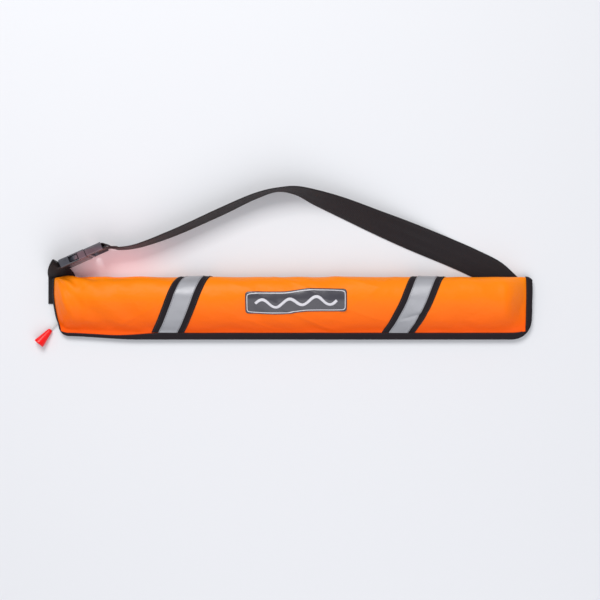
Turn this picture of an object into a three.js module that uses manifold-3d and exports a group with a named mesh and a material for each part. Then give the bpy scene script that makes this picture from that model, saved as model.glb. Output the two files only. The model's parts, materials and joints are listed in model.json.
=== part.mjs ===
// A waist-belt inflatable life jacket, packed in its pouch and lying on its back.
// Millimetres. +X runs along the pouch towards the belt's folded end, +Y towards the pouch's folded edge,
// +Z away from the wearer's back. The origin is on the underside of the middle belt loop, on the belt's
// centreline. Fabric pieces are closed slabs laid on two surfaces: the arched cover and the flat back.
import * as THREE from "three";
import { mergeVertices } from "three/addons/utils/BufferGeometryUtils.js";
import Module from "manifold-3d";

const wasm = await Module();
wasm.setup();

// ---- driving dimensions ----
const gap = 0.3; // left between any two pieces that touch
const fit = 0.8; // room round a piece that sits in another piece's opening
const ease = 0.6; // room between a binding's legs and the fabric inside them

const pouchLength = 680;
const pouchDrop = 67.6; // from the belt's centreline down to the bound edge
const fabric = 1.0; // thickness of the cover and of the back panel
const lowerCornerRun = 30;
const lowerCornerRise = 24;
const upperCornerRun = 12;
const upperCornerRise = 5;
const flatShare = 0.06; // the least share of the height, at the bound ends

const webbingWidth = 38;
const pouchRise = webbingWidth / 2 + 1.6; // from the belt's centreline up to the folded edge
const webbing = 1.4;
const loopStrap = 1.2;
const loopLength = 40;
const loopSpread = 215;
const loopEnd = 5; // the part of a loop that is sewn to the back below the belt

const bindingWidth = 9;
const bindingTape = 0.5;
const hookTape = 0.9;
const bandWidth = 43;
const silverWidth = 25;
const bandTape = 0.6;
const silverTape = 0.3;
const badgeLength = 141;
const badgeHeight = 32;
const badgePlate = 0.8;
const waveHeight = 0.5;

const cylinderDiameter = 25;
const cylinderLength = 135;
const leftEndRound = 5 * bindingWidth + 2 * cylinderDiameter - 69; // the left end is drawn in steeply
const rightEndRound = leftEndRound + 20; // the right end slopes down gently
const cylinderWall = 2;
const neckDiameter = 9;
const underlay = 5.6; // folded bladder between the back panel and the cylinder
const roomOverCylinder = 4;
const bodyLength = 39;
const bodyWidth = 24;
const pinDiameter = 3;
const stemDiameter = 7;
const flangeRadius = 13;
const leverLength = 16;
const leverWidth = 5;
const leverThickness = 4;
const lanyardDiameter = 2;
const knobLength = 26;
const knobBase = 15.5;
const knobTip = 6;

const buckleLength = 63;
const buckleThickness = 12;
const buckleMargin = 5; // plastic above and below the webbing
const socketLength = 38;
const buckleWall = 2;
const barWidth = 3;
const buckleTurn = THREE.MathUtils.degToRad(24);

const tubeDiameter = 10;
const tubeBore = 6.4;
const tubeLength = 120;
const valveDiameter = 13;
const valveLength = 20;
const capWall = 1.6;

// ---- levels and places worked out from them ----
const halfLength = pouchLength / 2;
const wrap = ease + bindingTape; // how far a binding stands off the edge it wraps
const beltLevel = loopStrap + 0.5 + webbing / 2;
const backOverBelt = beltLevel + webbing / 2 + gap + fabric / 2;
const backAtLip = wrap + fabric / 2;
const backTop = backOverBelt + fabric / 2;
const lipLevel = backAtLip + fabric + 2 * wrap + 2 * hookTape + 3 * gap;
const axisLevel = backTop + underlay + cylinderDiameter / 2;
const crestLevel = axisLevel + cylinderDiameter / 2 + roomOverCylinder;
const axisY = -4;
const bodyLeft = 43 - halfLength;

const black = { color: 0x2c222a, roughness: 0.85, metalness: 0 };
const orange = { color: 0xff6a08, roughness: 0.45, metalness: 0 };
const silver = { color: 0xb9bec8, roughness: 0.35, metalness: 0.3 };
const plastic = { color: 0x2b2a30, roughness: 0.4, metalness: 0 };
const steel = { color: 0xb8bcc0, roughness: 0.35, metalness: 1 };
const red = { color: 0xe8130f, roughness: 0.35, metalness: 0 };
const bladderCoat = { color: 0xf2b01a, roughness: 0.5, metalness: 0 };
const charcoal = { color: 0x3b3941, roughness: 0.5, metalness: 0 };
const rubberBlack = { color: 0x1d1d1f, roughness: 0.7, metalness: 0 };
const whiteTape = { color: 0xe6e4e2, roughness: 0.7, metalness: 0 };

const model = new THREE.Group();

function add(name, geometry, finish, group = model) {
  const mesh = new THREE.Mesh(geometry, new THREE.MeshStandardMaterial(finish));
  mesh.name = name;
  group.add(mesh);
  return mesh;
}

// ---- closed solids ----

// Merges a geometry's shared corners, drops empty triangles and turns the faces outwards.
function closed(geometry) {
  const bare = geometry.clone();
  bare.deleteAttribute("normal");
  bare.deleteAttribute("uv");
  const merged = mergeVertices(bare, 1e-3);
  const index = merged.index.array;
  const kept = [];
  for (let i = 0; i < index.length; i += 3) {
    const [a, b, c] = [index[i], index[i + 1], index[i + 2]];
    if (a !== b && b !== c && c !== a) kept.push(a, b, c);
  }
  merged.setIndex(kept);
  if (toSolid(merged).volume() < 0) {
    for (let i = 0; i < kept.length; i += 3) [kept[i + 1], kept[i + 2]] = [kept[i + 2], kept[i + 1]];
    merged.setIndex(kept);
  }
  return merged;
}

function toSolid(merged) {
  const vertProperties = new Float32Array(merged.attributes.position.array);
  const triVerts = new Uint32Array(merged.index.array);
  return new wasm.Manifold(new wasm.Mesh({ numProp: 3, vertProperties, triVerts }));
}

function toGeometry(body) {
  const mesh = body.getMesh();
  const geometry = new THREE.BufferGeometry();
  geometry.setAttribute("position", new THREE.BufferAttribute(new Float32Array(mesh.vertProperties), 3));
  geometry.setIndex(Array.from(mesh.triVerts));
  return geometry;
}

const joined = (first, ...others) =>
  toGeometry(others.reduce((sum, piece) => sum.add(toSolid(closed(piece))), toSolid(closed(first))));

const cut = (first, ...tools) =>
  toGeometry(tools.reduce((rest, piece) => rest.subtract(toSolid(closed(piece))), toSolid(closed(first))));

// A box between two corners.
function block(x0, x1, y0, y1, z0, z1) {
  const box = new THREE.BoxGeometry(x1 - x0, y1 - y0, z1 - z0);
  return box.translate((x0 + x1) / 2, (y0 + y1) / 2, (z0 + z1) / 2);
}

// A solid of revolution: the profile is [distance along the axis, radius] pairs.
function turned(profile, sides = 16) {
  const points = profile.map(([along, radius]) => new THREE.Vector2(radius, along));
  return closed(new THREE.LatheGeometry(points, sides));
}

const alongX = (geometry) => geometry.rotateZ(-Math.PI / 2);
const alongZ = (geometry) => geometry.rotateX(Math.PI / 2);

const rod = (radius, from, to, sides = 16) =>
  turned([[from, 0], [from, radius], [to, radius], [to, 0]], sides);

const ring = (inner, outer, from, to, sides = 16) =>
  turned([[from, inner], [from, outer], [to, outer], [to, inner], [from, inner]], sides);

// A unit box cut into steps, whose corners are moved by place(i, j, w): whole steps along and across,
// and w from 0 to 1 through the thickness.
function slab(place, alongSteps, acrossSteps) {
  const box = new THREE.BoxGeometry(1, 1, 1, alongSteps, acrossSteps, 1);
  const at = box.attributes.position;
  for (let k = 0; k < at.count; k += 1) {
    const i = Math.round((at.getX(k) + 0.5) * alongSteps);
    const j = Math.round((at.getY(k) + 0.5) * acrossSteps);
    const point = place(i, j, at.getZ(k) + 0.5);
    at.setXYZ(k, point.x, point.y, point.z);
  }
  return closed(box);
}

// ---- the two fabric surfaces ----

const clamp = THREE.MathUtils.clamp;
const edgeX = halfLength - wrap; // where the fabric ends, inside its binding
const lipY = wrap - pouchDrop;

// How far a corner has risen at x, when it starts `run` before the end and rises `rise` in all.
function cornerRise(x, run, rise) {
  const share = clamp((Math.abs(x) - (edgeX - run)) / run, 0, 1);
  return rise * (1 - Math.cos((share * Math.PI) / 2));
}

// The share of its full height that the cover has at x: steep at the left end, gentle at the right.
function heightShare(x) {
  const round = x < 0 ? leftEndRound : rightEndRound;
  const share = clamp((Math.abs(x) - (edgeX - round)) / round, 0, 1);
  const fall = Math.cos((share * Math.PI) / 2);
  return Math.max(x < 0 ? fall : fall * fall, flatShare);
}

// The cover's middle line across the pouch: flat lip, slope, crest, shoulder, fold, and seam.
const crest = crestLevel - fabric / 2;
const crestY = axisY - 4.7;
const coverLine = new THREE.CatmullRomCurve3([
  new THREE.Vector3(0, lipY, lipLevel),
  new THREE.Vector3(0, lipY + bindingWidth + 1, lipLevel + 0.8),
  new THREE.Vector3(0, (lipY + crestY) / 2 + 0.1, lipLevel + 0.58 * (crest - lipLevel)),
  new THREE.Vector3(0, crestY, crest),
  new THREE.Vector3(0, pouchRise - 8.6, crest - 6),
  new THREE.Vector3(0, pouchRise - fabric / 2, lipLevel + 0.38 * (crest - lipLevel)),
  new THREE.Vector3(0, pouchRise - 1.6, backTop + gap + fabric / 2 + 0.2),
]);
// The back panel's middle line: sagging to the table at the lip, lying on the belt above it.
const backLine = new THREE.CatmullRomCurve3([
  new THREE.Vector3(0, lipY, backAtLip),
  new THREE.Vector3(0, lipY + bindingWidth + 2, backAtLip),
  new THREE.Vector3(0, -webbingWidth / 2 - 16, (backAtLip + backOverBelt) / 2),
  new THREE.Vector3(0, -webbingWidth / 2 - 4, backOverBelt),
  new THREE.Vector3(0, 0, backOverBelt),
  new THREE.Vector3(0, pouchRise - 2, backOverBelt),
]);

// A surface carries its line along the pouch. point(x, t, lift) is the place at x, at the share t of the
// line's length, raised by lift off the surface.
function surface(line, seamLevel, share) {
  const length = line.getLength();
  const spread = pouchRise - lipY;
  const base = (x, t) => {
    const inside = clamp(x, -edgeX, edgeX);
    const on = line.getPointAt(clamp(t, 0, 1));
    const low = lipY + cornerRise(inside, lowerCornerRun, lowerCornerRise);
    const high = pouchRise - cornerRise(inside, upperCornerRun, upperCornerRise);
    const y = low + ((on.y - lipY) * (high - low)) / spread;
    return new THREE.Vector3(inside, y, seamLevel + (on.z - seamLevel) * share(inside));
  };
  const normal = (x, t) => {
    const [stepX, stepT] = [0.5, 0.004];
    const [left, right] = [Math.max(x - stepX, -edgeX), Math.min(x + stepX, edgeX)];
    const [low, high] = [Math.max(t - stepT, 0), Math.min(t + stepT, 1)];
    const along = base(right, t).sub(base(left, t));
    const across = base(x, high).sub(base(x, low));
    return along.cross(across).normalize();
  };
  const point = (x, t, lift) => base(x, t).addScaledVector(normal(x, t), lift);
  return { length, base, point };
}

const cover = surface(coverLine, lipLevel, heightShare);
const back = surface(backLine, backAtLip, () => 1);

// Stations along the pouch, closer together towards its ends.
const coverSteps = 32;
const alongStations = (from, to, steps) =>
  Array.from({ length: steps + 1 }, (_, i) => {
    const middle = (from + to) / 2;
    return middle - ((to - from) / 2) * Math.cos((i / steps) * Math.PI);
  });

// Stations across a surface: two under the binding, then even steps to the other edge.
function acrossStations(on, steps) {
  const leg = bindingWidth / on.length;
  const rest = Array.from({ length: steps }, (_, j) => leg + ((1 - leg) * (j + 1)) / steps);
  return [0, leg / 2, leg, ...rest];
}

// A slab on a surface between two lifts.
const sheet = (on, xs, ts, low, high) =>
  slab((i, j, w) => on.point(xs[i], ts[j], low + (high - low) * w), xs.length - 1, ts.length - 1);

const coverAcross = acrossStations(cover, 14);
const backAcross = acrossStations(back, 7);
const ends = [edgeX, edgeX - bindingWidth / 2];
const pouchAlong = [
  ...ends.map((x) => -x),
  ...alongStations(bindingWidth - edgeX, edgeX - bindingWidth, coverSteps),
  ...ends.toReversed(),
];

add("front_cover", sheet(cover, pouchAlong, coverAcross, -fabric / 2, fabric / 2), orange);
add("back_panel", sheet(back, pouchAlong, backAcross, -fabric / 2, fabric / 2), black);

// The tape wrapped round the left, lower and right edges of a surface, as a channel with two legs.
function binding(on, ts, topShare) {
  const cornerLeg = 1.1 * bindingWidth; // the two legs meet in a mitre inside this distance
  const sideShares = ts.filter((t) => t * on.length > cornerLeg && t <= topShare).toReversed();
  const inner = pouchAlong.filter((x) => Math.abs(x) < edgeX - cornerLeg);
  const path = [
    ...sideShares.map((t) => [-edgeX, t, 1, 0]),
    [-edgeX, 0, 1, 1],
    ...inner.map((x) => [x, 0, 0, 1]),
    [edgeX, 0, -1, 1],
    ...sideShares.toReversed().map((t) => [edgeX, t, -1, 0]),
  ];
  const near = fabric / 2 + ease;
  const far = near + bindingTape;
  const legs = [bindingWidth, bindingWidth / 2];
  const inside = [...legs.map((a) => [a, near]), [-ease, near]];
  const outside = [...legs.map((a) => [a, far]), [-wrap, far]];
  const under = (side) => side.toReversed().map(([a, lift]) => [a, -lift]);
  const sides = [[...inside, ...under(inside)], [...outside, ...under(outside)]];
  return slab((i, j, w) => {
    const [x, t, inX, inT] = path[i];
    const [a, lift] = sides[w][j];
    if (a >= 0) return on.point(x + a * inX, t + (a * inT) / on.length, lift);
    const edge = on.point(x, t, lift);
    const inwards = on.base(x + inX, t + inT / on.length).sub(on.base(x, t)).normalize();
    return edge.addScaledVector(inwards, a);
  }, path.length - 1, sides[0].length - 1);
}

add("cover_binding", binding(cover, coverAcross, 0.95), black);
add("back_binding", binding(back, backAcross, 0.9), black);

// Hook tape under the cover's lip and loop tape on the back's lip, facing each other.
const tapeAlong = alongStations(50 - halfLength, halfLength - 40, 24);
const tapeAcross = (on) => [0.8, bindingWidth / 2, bindingWidth].map((a) => a / on.length);
const bindingLift = fabric / 2 + wrap;
add(
  "hook_tape",
  sheet(cover, tapeAlong, tapeAcross(cover), -bindingLift - gap - hookTape, -bindingLift - gap),
  black,
);
add(
  "loop_tape",
  sheet(back, tapeAlong, tapeAcross(back), bindingLift + gap, bindingLift + gap + hookTape),
  black,
);

// ---- reflective bands, badge ----

const bandStart = 2; // the station at the binding's inner edge
const bandEnd = coverAcross.length - 2;
const bandTimes = coverAcross.slice(bandStart, bandEnd + 1).map((t, k) => (k === 0 ? t + gap / cover.length : t));

// A band crosses the cover on a slant: its middle is at `foot` beside the binding and leans to +X by
// `lean` for each millimetre along the line.
function band(side, foot, lean) {
  const middle = (t) => foot + lean * (t - bandTimes[0]) * cover.length;
  const strip = (width, low, high) =>
    slab(
      (i, j, w) => cover.point(middle(bandTimes[j]) + (i - 0.5) * width, bandTimes[j], low + (high - low) * w),
      1,
      bandTimes.length - 1,
    );
  const slant = Math.hypot(1, lean);
  const onCover = fabric / 2 + gap;
  const onTape = onCover + bandTape + gap;
  add(`band_${side}_backing`, strip(bandWidth * slant, onCover, onCover + bandTape), black);
  add(`band_${side}_silver`, strip(silverWidth * slant, onTape, onTape + silverTape), silver);
}
band("left", -176, 0.4);
band("right", 150, 0.42);

const badgeMiddle = 5.5;
const badgeLow = 0.385; // share of the cover's line at its lower edge
const badgeSteps = 8;
const badgeLift = fabric / 2 + 0.5;
const badgeAlong = Array.from({ length: badgeSteps + 1 }, (_, i) => badgeMiddle + badgeLength * (i / badgeSteps - 0.5));
const badgeAcross = [0, 1, 2, 3, 4].map((j) => badgeLow + ((badgeHeight / cover.length) * j) / 4);
add("badge", sheet(cover, badgeAlong, badgeAcross, badgeLift, badgeLift + badgePlate), charcoal);

// A raised wave along the badge, in place of any lettering.
const waveSteps = 40;
const waveLength = 0.8 * badgeLength;
const waveWidth = 4;
const waveLift = badgeLift + badgePlate + gap;
const waveAt = (i) => (badgeLow + (badgeHeight / 2 + 5 * Math.sin((i / waveSteps) * 6 * Math.PI)) / cover.length);
add(
  "badge_wave",
  slab(
    (i, j, w) =>
      cover.point(
        badgeMiddle + waveLength * (i / waveSteps - 0.5),
        waveAt(i) + ((j - 0.5) * waveWidth) / cover.length,
        waveLift + waveHeight * w,
      ),
    waveSteps,
    1,
  ),
  { ...silver, metalness: 0 },
);

// ---- webbing ----

const tableGap = 0.1;

// A strap along a route. Each stop of the route has its centre and the direction across the strap. Where
// the route dips, the strap is lifted to lie on the table.
function strap(stops, width, thickness, stepLength) {
  const centres = new THREE.CatmullRomCurve3(stops.map((stop) => stop.centre));
  const acrosses = new THREE.CatmullRomCurve3(stops.map((stop) => stop.across));
  const shares = [];
  const spans = stops.length - 1;
  for (let k = 0; k < spans; k += 1) {
    const span = stops[k].centre.distanceTo(stops[k + 1].centre);
    const steps = Math.max(1, Math.round(span / stepLength));
    for (let j = 0; j < steps; j += 1) shares.push((k + j / steps) / spans);
  }
  shares.push(1);
  return slab((i, j, w) => {
    const across = acrosses.getPoint(shares[i]).normalize();
    const normal = centres.getTangent(shares[i]).cross(across).normalize();
    const centre = centres.getPoint(shares[i]);
    const lowest = centre.z - (Math.abs(across.z) * width + Math.abs(normal.z) * thickness) / 2;
    centre.z += Math.max(tableGap - lowest, 0);
    return centre.addScaledVector(across, (j - 0.5) * width).addScaledVector(normal, (w - 0.5) * thickness);
  }, shares.length - 1, 1);
}

const up = new THREE.Vector3(0, 0, 1);
const stop = (x, y, z, across) => ({ centre: new THREE.Vector3(x, y, z), across });
const flatAcross = (degrees) =>
  new THREE.Vector3(Math.cos(THREE.MathUtils.degToRad(degrees)), Math.sin(THREE.MathUtils.degToRad(degrees)), 0);

// The buckle's own frame: along it from the socket's bar, through its thickness, and up.
const buckleX = 19.5 - halfLength;
const buckleY = pouchRise + 17.4;
const buckleHeight = webbingWidth + 2 * buckleMargin;
const buckle = new THREE.Group();
buckle.position.set(buckleX, buckleY, 0);
buckle.rotation.z = buckleTurn;
model.add(buckle);
const inBuckle = (along, off, z, across = up) => ({
  centre: new THREE.Vector3(along, off, z).applyAxisAngle(up, buckleTurn).add(new THREE.Vector3(buckleX, buckleY, 0)),
  across: across.clone(),
});

const barThickness = 3;
const barTurn = Math.hypot(barWidth, barThickness) / 2 + gap + webbing / 2; // the webbing's middle round a bar
const ladderBar = socketLength + 14;
const endBar = buckleLength - 3;
const buckleMiddle = buckleHeight / 2;

// The free run of the belt, from the buckle to the fold under the right end. Its inner edge stays on the
// table, and `tilt` is how far its outer edge is raised: 0 lies flat and 90 stands on edge.
const halfWidth = webbingWidth / 2;
const runStops = [
  [94 - halfLength, 60.8, 88],
  [118 - halfLength, 63.4, 87],
  [169 - halfLength, 81, 82],
  [237 - halfLength, 111.3, 80],
  [-51.3, 134.7, 84],
  [-22, 143.2, 88],
  [4, 142.6, 78],
  [34.2, 132.4, 61],
  [68.4, 119.6, 48],
  [119.6, 98.3, 33],
  [halfLength - 169, 77.6, 14],
  [halfLength - 118, 57, 0],
  [halfLength - 84, 42, 0],
  [halfLength - 52, 25.5, 0],
];
const runDirection = (k) => {
  const [before, after] = [runStops[Math.max(k - 1, 0)], runStops[Math.min(k + 1, runStops.length - 1)]];
  return new THREE.Vector2(after[0] - before[0], after[1] - before[1]).normalize();
};
const freeRun = runStops.map(([x, y, tilt], k) => {
  const angle = THREE.MathUtils.degToRad(tilt);
  const ahead = runDirection(k);
  const across = new THREE.Vector3(-ahead.y * Math.cos(angle), ahead.x * Math.cos(angle), Math.sin(angle));
  const rest = halfWidth * Math.sin(angle) + (webbing / 2) * Math.cos(angle);
  return stop(x, y, rest + (tilt > 0 ? 0.4 : 0.1), across);
});

const foldX = halfLength - 20;
const beltStops = [
  stop(94 - halfLength, 63.2, buckleMiddle - 1, up),
  stop(86 - halfLength, 65.4, buckleMiddle, up),
  inBuckle(buckleLength + 1.5, barTurn, buckleMiddle),
  inBuckle(endBar, barTurn, buckleMiddle),
  inBuckle(ladderBar, barTurn, buckleMiddle),
  inBuckle(ladderBar - barTurn * Math.SQRT1_2, barTurn * Math.SQRT1_2, buckleMiddle),
  inBuckle(ladderBar - barTurn, 0, buckleMiddle),
  inBuckle(ladderBar - barTurn * Math.SQRT1_2, -barTurn * Math.SQRT1_2, buckleMiddle),
  inBuckle(ladderBar, -barTurn, buckleMiddle),
  inBuckle(endBar, -barTurn, buckleMiddle),
  inBuckle(buckleLength + 3, -barTurn - 0.3, buckleMiddle - 0.2),
  ...freeRun,
  stop(foldX - 4, 2.4, webbing / 2 + 0.1, flatAcross(72)),
  stop(foldX, 0.8, webbing / 2 + 0.1, flatAcross(75)),
  stop(foldX + 1, 0.4, (webbing / 2 + beltLevel) / 2, flatAcross(76)),
  stop(foldX, 0, beltLevel, flatAcross(77)),
  stop(foldX - 8, 0, beltLevel, flatAcross(84)),
  stop(foldX - 40, 0, beltLevel, flatAcross(90)),
  stop(0, 0, beltLevel, flatAcross(90)),
  stop(12 - halfLength, 0, beltLevel, flatAcross(90)),
];
add("belt_webbing", strap(beltStops, webbingWidth, webbing, 15), black);

// The short end leaves the pouch under its left end, turns on edge, and wraps the socket's bar.
const socketBar = barWidth / 2 + 0.5;
const shortX = halfWidth - halfLength - 7;
const leaning = (degrees, swing) => {
  const angle = THREE.MathUtils.degToRad(degrees);
  return new THREE.Vector3(Math.cos(angle), swing, -Math.sin(angle));
};
const down = up.clone().negate();
const turnSteps = 5;
const turning = Array.from({ length: turnSteps }, (_, k) => {
  const share = k / turnSteps;
  const degrees = 86 * share;
  const rise = halfWidth * Math.sin(THREE.MathUtils.degToRad(degrees)) * (buckleMiddle / halfWidth);
  return stop(shortX + share, pouchRise - 0.5 + 18 * share, webbing / 2 + 0.1 + rise, leaning(degrees, 0.1 * share));
});
const shortStops = [
  stop(shortX, 2 - halfWidth, webbing / 2 + 0.1, leaning(0, 0)),
  stop(shortX, pouchRise - 12, webbing / 2 + 0.1, leaning(0, 0)),
  stop(shortX, pouchRise - 6, webbing / 2 + 0.1, leaning(0, 0)),
  ...turning,
  inBuckle(-4, barTurn + 0.6, buckleMiddle, down),
  inBuckle(socketBar, barTurn, buckleMiddle, down),
  inBuckle(socketBar + barTurn * Math.SQRT1_2, barTurn * Math.SQRT1_2, buckleMiddle, down),
  inBuckle(socketBar + barTurn, 0, buckleMiddle, down),
  inBuckle(socketBar + barTurn * Math.SQRT1_2, -barTurn * Math.SQRT1_2, buckleMiddle, down),
  inBuckle(socketBar, -barTurn, buckleMiddle, down),
  inBuckle(-8, -barTurn, buckleMiddle, down),
];
add("belt_short_end", strap(shortStops, webbingWidth, webbing, 8), black);

// A belt loop: a strap under the belt, turned up beside it, with its lower end sewn to the back.
function beltLoop(name, x) {
  const side = halfWidth + fit + loopStrap / 2;
  const level = loopStrap / 2;
  const top = backOverBelt - fabric / 2 - gap;
  const line = [[-side - loopEnd, beltLevel - 0.3], [-side, beltLevel - 0.3], [-side, level], [side, level], [side, top]];
  const corner = ([y, z], out) => {
    const bend = loopStrap / 2;
    return { y: y + out.y * bend, z: z + out.z * bend };
  };
  const outs = [
    { y: 0, z: -1 },
    { y: -1, z: -1 },
    { y: -1, z: -1 },
    { y: 1, z: -1 },
    { y: 1, z: 0 },
  ];
  const place = (i, j, w) => {
    const at = corner(line[j], w === 0 ? outs[j] : { y: -outs[j].y, z: -outs[j].z });
    return new THREE.Vector3(x + (i - 0.5) * loopLength, at.y, at.z);
  };
  add(name, slab(place, 1, line.length - 1), black);
}
beltLoop("belt_loop_left", -loopSpread);
beltLoop("belt_loop_middle", 0);
beltLoop("belt_loop_right", loopSpread);

// ---- buckle ----

const halfThick = buckleThickness / 2;
const railHeight = buckleMargin - 0.6;
const slotEnd = socketBar + barTurn + webbing / 2 + 0.8; // where the webbing's slot meets the socket's body
const windowStart = 14;
const windowEnd = 27.5;
const cavityHalf = halfThick - buckleWall;

const socketSlot = block(
  socketBar + barWidth / 2, slotEnd, -halfThick - 1, halfThick + 1, railHeight, buckleHeight - railHeight,
);
const socketNose = block(
  -1, socketBar - barWidth / 2, -halfThick - 1, halfThick + 1, railHeight, buckleHeight - railHeight,
);
const barRelief = (side) =>
  block(
    -1, slotEnd, Math.min(side * (barThickness / 2), side * (halfThick + 1)),
    Math.max(side * (barThickness / 2), side * (halfThick + 1)), railHeight, buckleHeight - railHeight,
  );
const socketCavity = block(
  slotEnd + buckleWall, socketLength + 1, -cavityHalf, cavityHalf, railHeight, buckleHeight - railHeight,
);
const socketWindows = block(windowStart, windowEnd, -cavityHalf, cavityHalf, -1, buckleHeight + 1);

// A bar of plastic with rounded edges along X, from x0 to x1.
function roundedBlock(x0, x1, thick, z0, z1, radius) {
  const [y, z, r] = [thick / 2, (z1 - z0) / 2, radius];
  const outline = new THREE.Shape();
  outline.moveTo(-y + r, -z);
  outline.lineTo(y - r, -z);
  outline.absarc(y - r, -z + r, r, -Math.PI / 2, 0);
  outline.lineTo(y, z - r);
  outline.absarc(y - r, z - r, r, 0, Math.PI / 2);
  outline.lineTo(-y + r, z);
  outline.absarc(-y + r, z - r, r, Math.PI / 2, Math.PI);
  outline.lineTo(-y, -z + r);
  outline.absarc(-y + r, -z + r, r, Math.PI, 1.5 * Math.PI);
  const bar = new THREE.ExtrudeGeometry(outline, { depth: x1 - x0, bevelEnabled: false, curveSegments: 3 });
  // The outline's plane is turned to stand across X: its x becomes Y and its y becomes Z.
  bar.applyMatrix4(new THREE.Matrix4().set(0, 0, 1, x0, 1, 0, 0, 0, 0, 1, 0, (z0 + z1) / 2, 0, 0, 0, 1));
  return bar;
}
add(
  "buckle_socket",
  cut(
    roundedBlock(0, socketLength, buckleThickness, 0, buckleHeight, 2),
    socketSlot, socketNose, barRelief(1), barRelief(-1), socketCavity, socketWindows,
  ),
  plastic,
  buckle,
);

const shoulder = socketLength + 0.5;
const ladderStart = shoulder + 4.5;
const guide = block(
  slotEnd + buckleWall + 3, shoulder + 1, -1.5, 1.5, buckleMiddle - 3, buckleMiddle + 3,
);
const ladderWindow = (from, to) =>
  block(from, to, -halfThick - 1, halfThick + 1, railHeight, buckleHeight - railHeight);
const ladderRelief = (side) =>
  block(
    ladderStart, buckleLength + 1, Math.min(side * (barThickness / 2), side * (halfThick + 1)),
    Math.max(side * (barThickness / 2), side * (halfThick + 1)), railHeight, buckleHeight - railHeight,
  );
add(
  "buckle_tongue",
  joined(
    cut(
      roundedBlock(shoulder, buckleLength, buckleThickness - 1, 0.6, buckleHeight - 0.6, 2),
      ladderWindow(ladderStart, ladderBar - barWidth / 2),
      ladderWindow(ladderBar + barWidth / 2, endBar - barWidth / 2),
      ladderRelief(1),
      ladderRelief(-1),
    ),
    guide,
  ),
  plastic,
  buckle,
);

// A prong: a springy arm from the shoulder, with a barb that stands in the socket's side window.
const prongThick = 2 * (cavityHalf - 0.8);
const prongRoot = shoulder - gap;
function prong(name, side) {
  const wallAt = buckleMiddle - railHeight; // half the cavity's height
  const outline = new THREE.Shape();
  const points = [
    [prongRoot, wallAt - 7],
    [prongRoot, wallAt - 2],
    [windowEnd - 0.6, wallAt - 1.2],
    [windowEnd - 1.2, wallAt + railHeight - 1.4],
    [windowEnd - 7, wallAt + railHeight - 1.4],
    [windowStart - 1, wallAt - 1.5],
    [windowStart - 1.5, wallAt - 5],
    [windowEnd - 6, wallAt - 5],
  ];
  points.forEach(([x, z], k) => (k ? outline.lineTo(x, side * z) : outline.moveTo(x, side * z)));
  const arm = new THREE.ExtrudeGeometry(outline, { depth: prongThick, bevelEnabled: false });
  arm.applyMatrix4(
    new THREE.Matrix4().set(1, 0, 0, 0, 0, 0, 1, -prongThick / 2, 0, 1, 0, buckleMiddle, 0, 0, 0, 1),
  );
  add(name, closed(arm), plastic, buckle);
}
prong("prong_upper", 1);
prong("prong_lower", -1);

// ---- inflator, at the left end ----

const inflator = new THREE.Group();
inflator.position.set(bodyLeft, axisY, axisLevel);
model.add(inflator);

const neckRadius = neckDiameter / 2;
const neckLength = 12;
const neckStart = bodyLength - neckLength + 2;
const bodyLow = -bodyWidth / 2 + 3;
const bodyHigh = bodyWidth / 2 + 3;
const bodyTop = neckRadius + 3;
const flangeTop = backTop + gap + 1 + gap + 2 - axisLevel; // top of the stem's flange, from the axis
const bodyBottom = flangeTop + 0.6 + gap + gap;
const stemRadius = stemDiameter / 2;
const stemX = 17;
const stemY = stemRadius + gap + pinDiameter / 2 + 2;
const pinRadius = pinDiameter / 2;

const cylinderRadius = cylinderDiameter / 2;
const cylinderStart = neckStart + 0.4;
const cylinderEnd = cylinderStart + cylinderLength;
const shoulderLength = 14;
add(
  "gas_cylinder",
  alongX(
    turned([
      [cylinderEnd, 0],
      [cylinderEnd - 2, cylinderRadius * 0.6],
      [cylinderEnd - 8, cylinderRadius],
      [cylinderStart + neckLength + shoulderLength, cylinderRadius],
      [cylinderStart + neckLength + shoulderLength / 2, cylinderRadius * 0.85],
      [cylinderStart + neckLength, neckRadius],
      [cylinderStart, neckRadius],
      [cylinderStart, 1],
      [cylinderStart + neckLength, 1],
      [cylinderStart + neckLength + shoulderLength, cylinderRadius - cylinderWall],
      [cylinderEnd - 8 - cylinderWall, cylinderRadius - cylinderWall],
      [cylinderEnd - cylinderWall * 2, 0],
    ]),
  ),
  steel,
  inflator,
);
add(
  "cylinder_seal",
  alongX(ring(pinRadius + gap, neckRadius - 0.2, neckStart - 1.4, neckStart)),
  rubberBlack,
  inflator,
);

// The lever turns on a vertical pin and is pulled away from the pouch's corner by the lanyard.
const pullAngle = Math.atan2(-0.772, -0.634);
const pivotX = 2.7;
const pivotY = bodyLow - 6.6;
const earReach = 4;
const earGap = leverThickness / 2 + gap;
const earThick = 4;
const ears = block(
  pivotX - earReach, pivotX + earReach, pivotY - earReach, bodyLow + 1, -earGap - earThick, earGap + earThick,
);
const earSlot = block(pivotX - 12, pivotX + earReach + 1, pivotY - earReach - 1, bodyLow - 0.01, -earGap, earGap);
const pinBore = alongX(rod(pinRadius + gap, -1, neckStart));
const neckBore = alongX(rod(neckRadius + gap, neckStart - 1.7, bodyLength + 1));
const stemBore = alongZ(rod(stemRadius + gap, bodyBottom - 1, bodyTop + 1)).translate(stemX, stemY, 0);
const pivotBore = alongZ(rod(pinRadius + gap, -20, 20)).translate(pivotX, pivotY, 0);
add(
  "inflator_body",
  cut(
    joined(block(0, bodyLength, bodyLow, bodyHigh, bodyBottom, bodyTop), ears),
    earSlot, pinBore, neckBore, stemBore, pivotBore,
  ),
  plastic,
  inflator,
);
add(
  "lever_pin",
  alongZ(rod(pinRadius, -earGap - earThick - 1, earGap + earThick + 1)).translate(pivotX, pivotY, 0),
  steel,
  inflator,
);

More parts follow.
